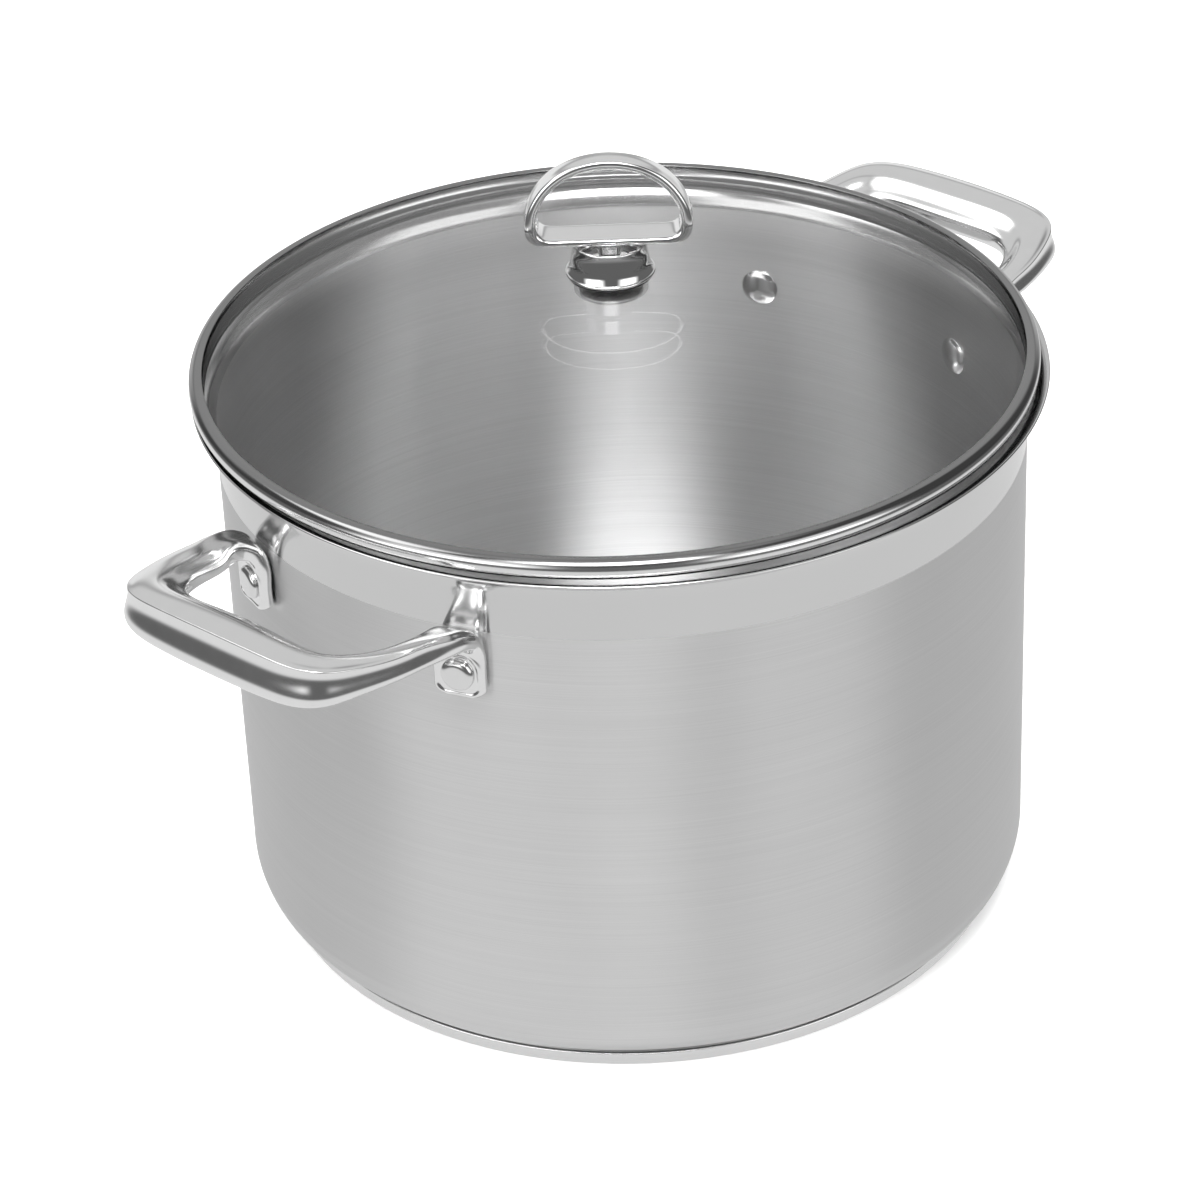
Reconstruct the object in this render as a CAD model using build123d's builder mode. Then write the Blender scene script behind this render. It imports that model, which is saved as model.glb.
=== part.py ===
from build123d import *
import math
import os

# Stock pot, 24 cm, with two riveted loop handles and a glass lid.
# Origin: centre of the underside. +Z up, handles on the +X and -X sides. Millimetres.

os.makedirs("parts", exist_ok=True)

DIAGONAL = math.sqrt(0.5)  # cosine and sine of 45 degrees

# ---------------------------------------------------------------- pot body
WALL_R = 121.0            # outside radius of the straight wall
WALL_T = 0.8              # sheet thickness
INNER_WALL_R = WALL_R - WALL_T
SHELL_BOTTOM_Z = 4.5      # outside of the shell's floor
CORNER_R = 14.2           # outside radius between floor and wall
FLARE_R = 7.3             # outside radius of the pouring lip's flare
FLARE_ANGLE = 80.0        # how far the flare turns outward
FLARE_END_Z = 173.55      # underside of the lip's edge
FLARE_START_Z = FLARE_END_Z - FLARE_R * math.sin(math.radians(FLARE_ANGLE))

# ---------------------------------------------------------------- base
BASE_R = 113.3            # outside radius of the steel cap
CORE_R = 112.3            # aluminium heat spreader
CORE_BEVEL = 0.5
CAP_T = 0.7               # magnetic steel cap
CAP_SIDE_Z = 4.4          # top of the cap's rim
CAP_CORNER_R = 1.5
CAP_INNER_CORNER_R = CAP_CORNER_R - CAP_T
GROOVE_R = 94.0           # inner radius of the groove in the underside
GROOVE_W = 0.6
GROOVE_DEPTH = 0.25

# ---------------------------------------------------------------- handle feet and rivets
FOOT_ANGLE = 18.97        # each foot pad stands this far to the side of the handle's middle
RIVET_Z = 141.0
SHANK_R = 2.5
RIVET_HOLE_R = 2.52
HOLE_CUT_LENGTH = 12.0
WALL_CUT_START_R = 115.0  # the hole cutters start at these distances from the pot's axis
PAD_CUT_START_R = 119.0
PAD_FACE_R = 125.45       # distance of the pad's front face from the pot's axis
RECESS_R = PAD_FACE_R - 0.35  # floor of the recess in that face
RECESS_W = 12.2
RECESS_CORNER_R = 2.4
RECESS_CUT = 0.8
PAD_CLEARANCE = 0.02      # gap between pad and wall
OUTER_HEAD_R = 4.95
OUTER_HEAD_EDGE = 0.5     # straight side of the outer head
OUTER_HEAD_H = 1.85
OUTER_HEAD_FLAT_R = 2.7
INNER_HEAD_R = 6.0
INNER_HEAD_CROWN = 118.1  # distances from the pot's axis
INNER_HEAD_EDGE = 119.95
INNER_HEAD_SEAT = 120.0

# ---------------------------------------------------------------- lid
LID_X, LID_Y = -0.30, 1.86  # the lid has play in the lip and rests this far off centre
GLASS_EDGE_R = 124.9
GLASS_FACE_R = GLASS_EDGE_R - 1.0  # where the rounded edge starts
GLASS_T = 3.6
GLASS_APEX_Z = 204.5
GLASS_RIM_R = 122.6       # the dome's upper face passes through this radius and height
GLASS_RIM_Z = 179.75
GLASS_HOLE_R = 4.6
GLASS_MID_R = 70.0        # middle point of the dome's arcs
BAND_T = 0.45

# ---------------------------------------------------------------- knob seals and clamp
GASKET_BORE_R = 4.7
UPPER_GASKET_R = 12.6
LOWER_GASKET_R = 11.0
LOWER_GASKET_Z = 199.6    # underside of the lower gasket
SLEEVE_R = 4.5
SLEEVE_BORE_R = 2.6
WASHER_R = 9.5
WASHER_BORE_R = 2.7
WASHER_T = 1.2
WASHER_ROUNDING = 0.4
SCREW_SEAT_Z = LOWER_GASKET_Z - WASHER_T
SCREW_R = 2.45
SCREW_TOP_Z = 212.0
SCREW_BEVEL = 0.5
SCREW_HEAD_R = 4.7
SCREW_HEAD_H = 2.8
SCREW_HEAD_ROUNDING = 1.6
CROSS_LENGTH = 4.4
CROSS_W = 0.95
CROSS_DEPTH = 1.5

# ---------------------------------------------------------------- knob
KNOB_TURN = -49.0         # the loop's wide direction, degrees from +X
CUP_BASE_Z = 205.1
CUP_FLOOR_Z = 206.3
CUP_TOP_Z = 215.3
CUP_FLANGE_R = 13.3
CUP_BORE_R = 2.8
LOOP_DEPTH = 11.4         # across the loop's bottom bar
LOOP_TOP_DEPTH = 7.8      # across the loop at the top of its arch
TAPER_START_Z = 222.0     # the depth changes over this height range
TAPER_H = 18.0
LOOP_ROUNDING = 0.42      # section corner radius as a share of its thickness
STEM_W = 5.3
STEM_DEPTH = 6.6
STEM_CORNER_R = 1.0
STEM_BOTTOM_Z = 209.0
STEM_TOP_Z = 217.0
BOSS_R = 6.2
BOSS_H = 4.2
SCREW_HOLE_R = 2.5
SCREW_HOLE_DEPTH = 6.6

# Half of the grip, from its middle to the top of a leg:
# outer ridge x, y, z; inner edge x, y, z; height of the outer face; height of the inner face
GRIP_STATIONS = [
    (173.8, 0.0, 166.9, 156.4, 0.0, 161.8, 14.4, 4.8),
    (173.7, 10.5, 166.8, 156.6, 9.0, 161.7, 14.3, 4.8),
    (173.3, 21.0, 166.5, 156.8, 17.0, 161.4, 13.9, 4.7),
    (172.0, 31.0, 165.9, 156.2, 23.8, 160.9, 13.0, 4.6),
    (167.9, 38.2, 165.0, 153.8, 28.8, 160.2, 11.6, 4.5),
    (160.8, 41.8, 163.7, 149.8, 32.0, 159.3, 9.6, 4.4),
    (152.2, 44.2, 162.2, 144.8, 33.9, 158.4, 8.0, 4.2),
    (143.0, 45.6, 160.9, 138.6, 34.8, 157.4, 7.2, 3.9),
    (134.4, 45.9, 159.8, 132.0, 35.2, 156.7, 6.8, 3.6),
]
GRIP_UNIT_W = 17.3        # grip width at which the section's small offsets are full size

# The leg bends down on to the wall and flattens into the pad:
# distance from the pot's axis, z, tilt, half width, half thickness, sideways offset
FOOT_STATIONS = [
    (128.4, 155.0, 12, 5.7, 3.2, 0.5),
    (125.7, 153.8, 40, 6.2, 3.0, 0.3),
    (124.1, 151.4, 68, 7.2, 2.6, 0.1),
    (123.25, 148.2, 90, 7.9, 2.25, 0.0),
    (123.25, 143.0, 90, 8.0, 2.2, 0.0),
    (123.25, 137.0, 90, 8.0, 2.2, 0.0),
    (123.25, 135.0, 90, 7.4, 2.1, 0.0),
    (123.25, 134.0, 90, 6.0, 1.7, 0.0),
]
# The leg's rounded bar section, as shares of its half width and half thickness
FOOT_OUTLINE = [
    (0.92, 0.55), (0.62, 1.0), (0.2, 1.0), (-0.2, 1.0), (-0.62, 1.0), (-0.95, 0.6),
    (-1.0, 0.0), (-0.92, -0.7), (-0.45, -1.0), (0.45, -1.0), (0.92, -0.7), (1.0, 0.0),
]

# Middle line of the lid band's rolled sheet (radius, z): from over the glass,
# round its edge, to the short foot inside the lip
BAND_LINE = [
    (122.25, 180.42), (123.3, 180.55), (124.5, 180.28), (125.4, 179.5), (125.9, 178.4),
    (125.98, 177.2), (125.72, 176.1), (125.1, 175.25), (124.3, 174.85), (123.4, 174.76),
    (122.6, 174.70), (122.08, 174.35), (121.98, 173.85),
]

# Half of the knob loop, from the top of its arch to its bottom bar:
# outer edge sideways, z; inner edge sideways, z
LOOP_STATIONS = [
    (0.0, 242.0, 0.0, 239.3), (8.0, 240.9, 7.6, 238.2), (14.6, 238.0, 13.4, 235.5),
    (19.3, 234.0, 17.6, 231.6), (22.9, 228.4, 20.4, 226.8), (24.6, 222.6, 21.2, 222.6),
    (24.1, 218.6, 20.4, 219.6), (21.8, 216.2, 18.4, 218.2), (18.0, 215.6, 15.5, 217.9),
    (14.0, 215.6, 14.0, 217.9),
]

# Profiles of the lid's round pieces: local x is the radius, local y is the height
LID_PROFILE = Plane(origin=(LID_X, LID_Y, 0), x_dir=(1, 0, 0), z_dir=(0, -1, 0))
LID_AXIS = Axis((LID_X, LID_Y, 0), (0, 0, 1))


def on_lid(z):
    return Plane(origin=(LID_X, LID_Y, z))


def directions(degrees):
    """Horizontal unit vectors: one at this angle from +X, one a quarter turn further."""
    c, s = math.cos(math.radians(degrees)), math.sin(math.radians(degrees))
    return Vector(c, s, 0), Vector(-s, c, 0)


def rivet_plane(degrees, radius):
    """Upright plane facing outward at a rivet's height."""
    outward, sideways = directions(degrees)
    origin = outward * radius + Vector(0, 0, RIVET_Z)
    return Plane(origin=origin, x_dir=sideways, z_dir=outward)


def glass_top(r):
    """Height of the glass's upper face, a spherical cap, at radius r."""
    cap_h = GLASS_APEX_Z - GLASS_RIM_Z
    sphere_r = (GLASS_RIM_R ** 2 + cap_h ** 2) / (2 * cap_h)
    return GLASS_APEX_Z - sphere_r + math.sqrt(sphere_r ** 2 - r ** 2)


def glass_under(r):
    return glass_top(r) - GLASS_T


def save(part, name):
    part.label = name
    export_step(part, f"parts/{name}.step")


# ================================================================ pot
def flare_point(radius, degrees):
    """Point on the flare's section, turned this far from the wall."""
    a = math.radians(degrees)
    return (WALL_R + FLARE_R - radius * math.cos(a), FLARE_START_Z + radius * math.sin(a))


def make_pot_shell():
    flare_inner_r = FLARE_R + WALL_T
    outer_mid = flare_point(FLARE_R, FLARE_ANGLE / 2)
    outer_end = flare_point(FLARE_R, FLARE_ANGLE)
    inner_mid = flare_point(flare_inner_r, FLARE_ANGLE / 2)
    inner_end = flare_point(flare_inner_r, FLARE_ANGLE)
    end_angle = math.radians(FLARE_ANGLE)
    lip_mid = ((outer_end[0] + inner_end[0]) / 2 + WALL_T / 2 * math.sin(end_angle),
               (outer_end[1] + inner_end[1]) / 2 + WALL_T / 2 * math.cos(end_angle))
    corner_x = WALL_R - CORNER_R
    corner_z = SHELL_BOTTOM_Z + CORNER_R
    outer_step = CORNER_R * DIAGONAL
    inner_step = (CORNER_R - WALL_T) * DIAGONAL
    floor_z = SHELL_BOTTOM_Z + WALL_T

    with BuildPart() as shell:
        with BuildSketch(Plane.XZ):
            with BuildLine():
                # outside: floor, corner, wall, flare
                Line((0, SHELL_BOTTOM_Z), (corner_x, SHELL_BOTTOM_Z))
                ThreePointArc((corner_x, SHELL_BOTTOM_Z),
                              (corner_x + outer_step, corner_z - outer_step),
                              (WALL_R, corner_z))
                Line((WALL_R, corner_z), (WALL_R, FLARE_START_Z))
                ThreePointArc((WALL_R, FLARE_START_Z), outer_mid, outer_end)
                # the lip's rounded edge
                ThreePointArc(outer_end, lip_mid, inner_end)
                # inside: flare, wall, corner, floor
                ThreePointArc(inner_end, inner_mid, (INNER_WALL_R, FLARE_START_Z))
                Line((INNER_WALL_R, FLARE_START_Z), (INNER_WALL_R, corner_z))
                ThreePointArc((INNER_WALL_R, corner_z),
                              (corner_x + inner_step, corner_z - inner_step),
                              (corner_x, floor_z))
                Polyline((corner_x, floor_z), (0, floor_z), (0, SHELL_BOTTOM_Z))
            make_face()
        revolve(axis=Axis.Z)
        # rivet holes through the wall
        for side in (0, 180):
            for foot in (-FOOT_ANGLE, FOOT_ANGLE):
                with BuildSketch(rivet_plane(side + foot, WALL_CUT_START_R)):
                    Circle(RIVET_HOLE_R)
                extrude(amount=HOLE_CUT_LENGTH, mode=Mode.SUBTRACT)
    save(shell.part, "pot_shell")


def make_base_core():
    with BuildPart() as core:
        with BuildSketch(Plane.XY.offset(CAP_T)):
            Circle(CORE_R)
        extrude(amount=SHELL_BOTTOM_Z - CAP_T)
        # top edge bevelled, bottom edge rounded to fit the cap's inside corner
        chamfer(core.edges().sort_by(Axis.Z)[-1], length=CORE_BEVEL)
        fillet(core.edges().sort_by(Axis.Z)[0], radius=CAP_INNER_CORNER_R)
    save(core.part, "base_core")


def make_base_cap():
    outer_x = BASE_R - CAP_CORNER_R
    outer_step = CAP_CORNER_R * DIAGONAL
    inner_x = CORE_R - CAP_INNER_CORNER_R
    inner_z = CAP_T + CAP_INNER_CORNER_R
    inner_step = CAP_INNER_CORNER_R * DIAGONAL

    with BuildPart() as cap:
        with BuildSketch(Plane.XZ):
            with BuildLine():
                Line((0, 0), (outer_x, 0))
                ThreePointArc((outer_x, 0), (outer_x + outer_step, CAP_CORNER_R - outer_step),
                              (BASE_R, CAP_CORNER_R))
                Polyline((BASE_R, CAP_CORNER_R), (BASE_R, CAP_SIDE_Z),
                         (CORE_R, CAP_SIDE_Z), (CORE_R, inner_z))
                ThreePointArc((CORE_R, inner_z), (inner_x + inner_step, inner_z - inner_step),
                              (inner_x, CAP_T))
                Polyline((inner_x, CAP_T), (0, CAP_T), (0, 0))
            make_face()
        revolve(axis=Axis.Z)
        # shallow anti-slip groove in the underside
        with BuildSketch(Plane.XY):
            Circle(GROOVE_R + GROOVE_W)
            Circle(GROOVE_R, mode=Mode.SUBTRACT)
        extrude(amount=GROOVE_DEPTH, mode=Mode.SUBTRACT)
    save(cap.part, "base_cap")


# ================================================================ handles
# A handle section is (origin, width direction, thickness direction, outline points).
def foot_section(radius, z, tilt, half_w, half_t, offset):
    """Bar section; tilt 0 has its thickness upright, tilt 90 has it towards the pot."""
    outward, sideways = directions(FOOT_ANGLE)
    angle = math.radians(tilt)
    thickness_dir = Vector(0, 0, math.cos(angle)) - outward * math.sin(angle)
    origin = outward * radius + sideways * offset + Vector(0, 0, z)
    outline = [(half_w * u, half_t * v) for u, v in FOOT_OUTLINE]
    return origin, sideways, thickness_dir, outline


def grip_section(outer_x, outer_y, outer_z, inner_x, inner_y, inner_z, outer_h, inner_h):
    """Upright section from the grip's inner edge out to its ridge."""
    dx, dy = outer_x - inner_x, outer_y - inner_y
    w = math.hypot(dx, dy)
    rise = outer_z - inner_z
    k = w / GRIP_UNIT_W
    outline = [
        # upper face, from the ridge to the inner edge
        (w, rise), (w * 0.88, rise + 0.75 * k), (w * 0.60, rise + 0.75 * k),
        (w * 0.33, rise - 0.9 * k), (w * 0.14, rise * 0.36), (0.0, 0.0),
        # inner face, underside and outer face
        (-0.55, -inner_h * 0.42), (0.35, -inner_h),
        (w * 0.42, -inner_h * 0.62 - (outer_h - rise) * 0.38 - 0.4),
        (w - 3.2 * k, rise - outer_h), (w + 0.5 * k, rise - outer_h + 1.9 * k),
        (w - 1.25 * k, rise - outer_h * 0.5),
    ]
    origin = Vector(inner_x, inner_y, inner_z)
    return origin, Vector(dx / w, dy / w, 0), Vector(0, 0, 1), outline


def dense_grip_stations():
    """The grip's stations, with one more between each pair on a smooth curve through them."""
    second = list(GRIP_STATIONS[1])
    second[1], second[4] = -second[1], -second[4]
    beyond = tuple(2 * q - p for p, q in zip(GRIP_STATIONS[-2], GRIP_STATIONS[-1]))
    run = [tuple(second)] + GRIP_STATIONS + [beyond]
    dense = []
    for before, start, end, after in zip(run, run[1:], run[2:], run[3:]):
        dense.append(start)
        dense.append(tuple(-0.0625 * a + 0.5625 * b + 0.5625 * c - 0.0625 * d
                           for a, b, c, d in zip(before, start, end, after)))
    dense.append(GRIP_STATIONS[-1])
    return dense


def place_section(section, side):
    """Plane and outline of a section; side -1 mirrors it to the -Y half."""
    origin, width_dir, thickness_dir, outline = section
    origin, width_dir, thickness_dir = (
        Vector(v.X, side * v.Y, v.Z) for v in (origin, width_dir, thickness_dir))
    plane = Plane(origin=origin, x_dir=width_dir, z_dir=width_dir.cross(thickness_dir))
    return plane, outline


def make_handle_blank():
    """The handle on the +X side."""
    half = [grip_section(*row) for row in dense_grip_stations()]
    half += [foot_section(*row) for row in FOOT_STATIONS]
    stations = [place_section(s, -1) for s in half[:0:-1]] + [place_section(s, 1) for s in half]
    with BuildPart() as blank:
        for pair in zip(stations, stations[1:]):
            for plane, outline in pair:
                with BuildSketch(plane):
                    with BuildLine():
                        Spline(*outline, periodic=True)
                    make_face()
            loft(ruled=True)
        # the pads' backs fit the round wall
        with BuildSketch(Plane.XY.offset(120)):
            Circle(WALL_R + PAD_CLEARANCE)
        extrude(amount=60, mode=Mode.SUBTRACT)
        for foot in (-FOOT_ANGLE, FOOT_ANGLE):
            with BuildSketch(rivet_plane(foot, PAD_CUT_START_R)):
                Circle(RIVET_HOLE_R)
            extrude(amount=HOLE_CUT_LENGTH, mode=Mode.SUBTRACT)
            # shallow recess in the pad's face, inside its raised border
            with BuildSketch(rivet_plane(foot, RECESS_R)):
                RectangleRounded(RECESS_W, RECESS_W, RECESS_CORNER_R)
            extrude(amount=RECESS_CUT, mode=Mode.SUBTRACT)
    return blank.part


def make_handles():
    blank = make_handle_blank()
    for name, turn in (("handle_right", 0), ("handle_left", 180)):
        with BuildPart() as handle:
            add(blank, rotation=(0, 0, turn))
        save(handle.part, name)


def make_rivet(name, degrees):
    outward, sideways = directions(degrees)
    # local x runs outward along the rivet, local y is its radius
    profile = Plane(origin=(0, 0, RIVET_Z), x_dir=outward, z_dir=-sideways)
    head_side = RECESS_R + OUTER_HEAD_EDGE
    head_top = RECESS_R + OUTER_HEAD_H
    with BuildPart() as rivet:
        with BuildSketch(profile):
            with BuildLine():
                Line((INNER_HEAD_CROWN, 0), (INNER_HEAD_CROWN, 0.01))
                Spline((INNER_HEAD_CROWN, 0.01), (118.5, 2.9), (119.25, 5.2),
                       (INNER_HEAD_EDGE, INNER_HEAD_R), tangents=((0, 1), (0.9, 0.25)))
                Polyline((INNER_HEAD_EDGE, INNER_HEAD_R), (INNER_HEAD_SEAT, INNER_HEAD_R),
                         (INNER_HEAD_SEAT, SHANK_R), (RECESS_R, SHANK_R),
                         (RECESS_R, OUTER_HEAD_R), (head_side, OUTER_HEAD_R))
                Spline((head_side, OUTER_HEAD_R), (RECESS_R + 1.45, 4.1),
                       (head_top, OUTER_HEAD_FLAT_R), tangents=((1, -0.1), (0.1, -1)))
                Polyline((head_top, OUTER_HEAD_FLAT_R), (head_top, 0), (INNER_HEAD_CROWN, 0))
            make_face()
        revolve(axis=Axis((0, 0, RIVET_Z), outward))
    save(rivet.part, name)


def make_rivets():
    for side_name, side in (("right", 0), ("left", 180)):
        make_rivet(f"rivet_{side_name}_a", side + FOOT_ANGLE)
        make_rivet(f"rivet_{side_name}_b", side - FOOT_ANGLE)


# ================================================================ lid
def make_lid_glass():
    edge_top = (GLASS_FACE_R, glass_top(GLASS_FACE_R))
    edge_under = (GLASS_FACE_R, glass_under(GLASS_FACE_R))
    hole_top = (GLASS_HOLE_R, glass_top(GLASS_HOLE_R))
    hole_under = (GLASS_HOLE_R, glass_under(GLASS_HOLE_R))
    with BuildPart() as glass:
        with BuildSketch(LID_PROFILE):
            with BuildLine():
                ThreePointArc(hole_top, (GLASS_MID_R, glass_top(GLASS_MID_R)), edge_top)
                ThreePointArc(edge_top, (GLASS_EDGE_R, (edge_top[1] + edge_under[1]) / 2),
                              edge_under)
                ThreePointArc(edge_under, (GLASS_MID_R, glass_under(GLASS_MID_R)), hole_under)
                Line(hole_under, hole_top)
            make_face()
        revolve(axis=LID_AXIS)
    save(glass.part, "lid_glass")


def offset_line(line, distance):
    """Each point moved square to the line through its neighbours."""
    moved = []
    for k, (x, y) in enumerate(line):
        x0, y0 = line[max(k - 1, 0)]
        x1, y1 = line[min(k + 1, len(line) - 1)]
        length = math.hypot(x1 - x0, y1 - y0)
        moved.append((x - (y1 - y0) / length * distance, y + (x1 - x0) / length * distance))
    return moved


def make_lid_band():
    outer = offset_line(BAND_LINE, BAND_T / 2)
    inner = offset_line(BAND_LINE, -BAND_T / 2)
    with BuildPart() as band:
        with BuildSketch(LID_PROFILE):
            with BuildLine():
                Spline(*outer)
                Line(outer[-1], inner[-1])
                Spline(*inner[::-1])
                Line(inner[0], outer[0])
            make_face()
        revolve(axis=LID_AXIS)
    save(band.part, "lid_band")


# ================================================================ knob seals and clamp
def make_gasket(name, glass_z, outer_r, flat_z):
    """Ring with one face on the glass, whose height is glass_z(r), and one flat face."""
    mid_r = (GASKET_BORE_R + outer_r) / 2
    bore_edge = (GASKET_BORE_R, glass_z(GASKET_BORE_R))
    outer_edge = (outer_r, glass_z(outer_r))
    with BuildPart() as gasket:
        with BuildSketch(LID_PROFILE):
            with BuildLine():
                ThreePointArc(bore_edge, (mid_r, glass_z(mid_r)), outer_edge)
                Polyline(outer_edge, (outer_r, flat_z), (GASKET_BORE_R, flat_z), bore_edge)
            make_face()
        revolve(axis=LID_AXIS)
    save(gasket.part, name)


def make_knob_sleeve():
    with BuildPart() as sleeve:
        with BuildSketch(on_lid(LOWER_GASKET_Z)):
            Circle(SLEEVE_R)
            Circle(SLEEVE_BORE_R, mode=Mode.SUBTRACT)
        extrude(amount=CUP_BASE_Z - LOWER_GASKET_Z)
    save(sleeve.part, "knob_sleeve")


def make_knob_washer():
    with BuildPart() as washer:
        with BuildSketch(on_lid(SCREW_SEAT_Z)):
            Circle(WASHER_R)
            Circle(WASHER_BORE_R, mode=Mode.SUBTRACT)
        extrude(amount=WASHER_T)
        outer_edges = washer.edges().filter_by(GeomType.CIRCLE).sort_by(SortBy.RADIUS)[-2:]
        fillet(outer_edges, radius=WASHER_ROUNDING)
    save(washer.part, "knob_washer")


def make_knob_screw():
    with BuildPart() as screw:
        with BuildSketch(on_lid(SCREW_SEAT_Z - SCREW_HEAD_H)):
            Circle(SCREW_HEAD_R)
        extrude(amount=SCREW_HEAD_H)
        fillet(screw.edges().sort_by(Axis.Z)[0], radius=SCREW_HEAD_ROUNDING)
        with BuildSketch(on_lid(SCREW_SEAT_Z)):
            Circle(SCREW_R)
        extrude(amount=SCREW_TOP_Z - SCREW_SEAT_Z)
        chamfer(screw.edges().sort_by(Axis.Z)[-1], length=SCREW_BEVEL)
        # cross recess in the head
        with BuildSketch(on_lid(SCREW_SEAT_Z - SCREW_HEAD_H)):
            Rectangle(CROSS_LENGTH, CROSS_W)
            Rectangle(CROSS_W, CROSS_LENGTH)
        extrude(amount=CROSS_DEPTH, mode=Mode.SUBTRACT)
    save(screw.part, "knob_screw")


# ================================================================ knob
def make_knob_cup():
    flange_under = (CUP_FLANGE_R - 0.5, CUP_BASE_Z)
    flange_top = (CUP_FLANGE_R - 0.4, CUP_BASE_Z + 0.95)
    rim_outer = (10.9, CUP_TOP_Z - 0.8)
    rim_inner = (10.0, CUP_TOP_Z - 0.8)
    floor_edge = (10.7, CUP_FLOOR_Z + 0.6)
    with BuildPart() as cup:
        with BuildSketch(LID_PROFILE):
            with BuildLine():
                Line((CUP_BORE_R, CUP_BASE_Z), flange_under)
                ThreePointArc(flange_under, (CUP_FLANGE_R, CUP_BASE_Z + 0.5), flange_top)
                # outside of the wall, rim, inside of the wall
                Spline(flange_top, (12.35, CUP_BASE_Z + 1.9), (11.75, CUP_BASE_Z + 4.0),
                       (11.1, CUP_BASE_Z + 7.0), rim_outer)
                ThreePointArc(rim_outer, (10.45, CUP_TOP_Z), rim_inner)
                Spline(rim_inner, (10.2, CUP_BASE_Z + 7.0), (10.7, CUP_BASE_Z + 4.0), floor_edge)
                Polyline(floor_edge, (10.1, CUP_FLOOR_Z), (CUP_BORE_R, CUP_FLOOR_Z),
                         (CUP_BORE_R, CUP_BASE_Z))
            make_face()
        revolve(axis=LID_AXIS)
    save(cup.part, "knob_cup")


def loop_station(outer_x, outer_z, inner_x, inner_z):
    """Plane, depth and thickness of the loop's section between two edge points."""
    along, across = directions(KNOB_TURN)
    mid_x, mid_z = (outer_x + inner_x) / 2, (outer_z + inner_z) / 2
    dx, dz = outer_x - inner_x, outer_z - inner_z
    rise = min(max((mid_z - TAPER_START_Z) / TAPER_H, 0.0), 1.0)
    depth = LOOP_DEPTH + (LOOP_TOP_DEPTH - LOOP_DEPTH) * rise
    plane = Plane(origin=Vector(LID_X, LID_Y, mid_z) + along * mid_x, x_dir=across,
                  z_dir=across.cross(along * dx + Vector(0, 0, dz)))
    return plane, depth, math.hypot(dx, dz)


def make_knob_loop():
    """The loop, with its stem and boss."""
    mirrored = [(-ox, oz, -ix, iz) for ox, oz, ix, iz in LOOP_STATIONS[:0:-1]]
    around = [loop_station(*row) for row in LOOP_STATIONS + mirrored + LOOP_STATIONS[:1]]
    with BuildPart() as loop:
        for pair in zip(around, around[1:]):
            for plane, depth, thickness in pair:
                with BuildSketch(plane):
                    RectangleRounded(depth, thickness, thickness * LOOP_ROUNDING)
            loft(ruled=True)
        # stem
        with BuildSketch(Plane(origin=(LID_X, LID_Y, STEM_BOTTOM_Z),
                               x_dir=directions(KNOB_TURN)[0])):
            RectangleRounded(STEM_W, STEM_DEPTH, STEM_CORNER_R)
        extrude(amount=STEM_TOP_Z - STEM_BOTTOM_Z)
        # boss that stands on the cup's floor
        with BuildSketch(on_lid(CUP_FLOOR_Z)):
            Circle(BOSS_R)
        extrude(amount=BOSS_H)
        # blind hole for the clamping screw
        with BuildSketch(on_lid(CUP_FLOOR_Z)):
            Circle(SCREW_HOLE_R)
        extrude(amount=SCREW_HOLE_DEPTH, mode=Mode.SUBTRACT)
    save(loop.part, "knob_loop")


make_pot_shell()
make_base_core()
make_base_cap()
make_handles()
make_rivets()
make_lid_glass()
make_lid_band()
make_gasket("knob_gasket_upper", glass_top, UPPER_GASKET_R, CUP_BASE_Z)
make_gasket("knob_gasket_lower", glass_under, LOWER_GASKET_R, LOWER_GASKET_Z)
make_knob_sleeve()
make_knob_washer()
make_knob_screw()
make_knob_cup()
make_knob_loop()
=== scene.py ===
"""A steel cooking pot with two cast loop handles and a domed glass lid with a D-shaped knob.

The pot stands on z = 0 with its axis on Z. Its handles reach out along +X (right) and -X (left).
The lid sits slightly off the pot's axis. Sizes are in millimetres, and meshes are made in metres.
"""
import math

import bmesh
import bpy
import numpy as np
from mathutils import Matrix, Vector


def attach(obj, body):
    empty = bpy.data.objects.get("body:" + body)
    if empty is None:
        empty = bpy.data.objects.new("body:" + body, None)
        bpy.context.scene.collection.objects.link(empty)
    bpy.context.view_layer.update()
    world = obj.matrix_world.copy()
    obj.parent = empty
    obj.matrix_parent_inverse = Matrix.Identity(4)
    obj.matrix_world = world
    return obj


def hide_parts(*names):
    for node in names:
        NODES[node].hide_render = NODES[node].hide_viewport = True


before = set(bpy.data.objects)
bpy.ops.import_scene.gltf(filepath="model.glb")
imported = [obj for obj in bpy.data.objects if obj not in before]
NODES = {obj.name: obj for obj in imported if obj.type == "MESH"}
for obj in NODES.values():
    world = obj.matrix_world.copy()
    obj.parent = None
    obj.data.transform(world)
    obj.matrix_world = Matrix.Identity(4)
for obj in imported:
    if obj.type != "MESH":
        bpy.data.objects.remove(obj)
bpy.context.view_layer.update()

scene = bpy.context.scene
MM = 0.001
VIEW_TURN = 48.3      # turn of the viewing direction about the pot's axis, degrees

# ---------------------------------------------------------------- sizes, mm and degrees
# pot wall: outer radius, sheet thickness, rounded bottom corner
WALL_R, WALL_T = 121.0, 0.8
INNER_R = WALL_R - WALL_T
SHELL_BOTTOM_Z, CORNER_R = 4.5, 14.2
# lip flared outward at the top
FLARE_R, FLARE_ANGLE, FLARE_END_Z = 7.3, 80.0, 173.55
FLARE_START_Z = FLARE_END_Z - FLARE_R * math.sin(math.radians(FLARE_ANGLE))
POLISH_Z = 153.6      # the outside is mirror-finished above this height

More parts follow.
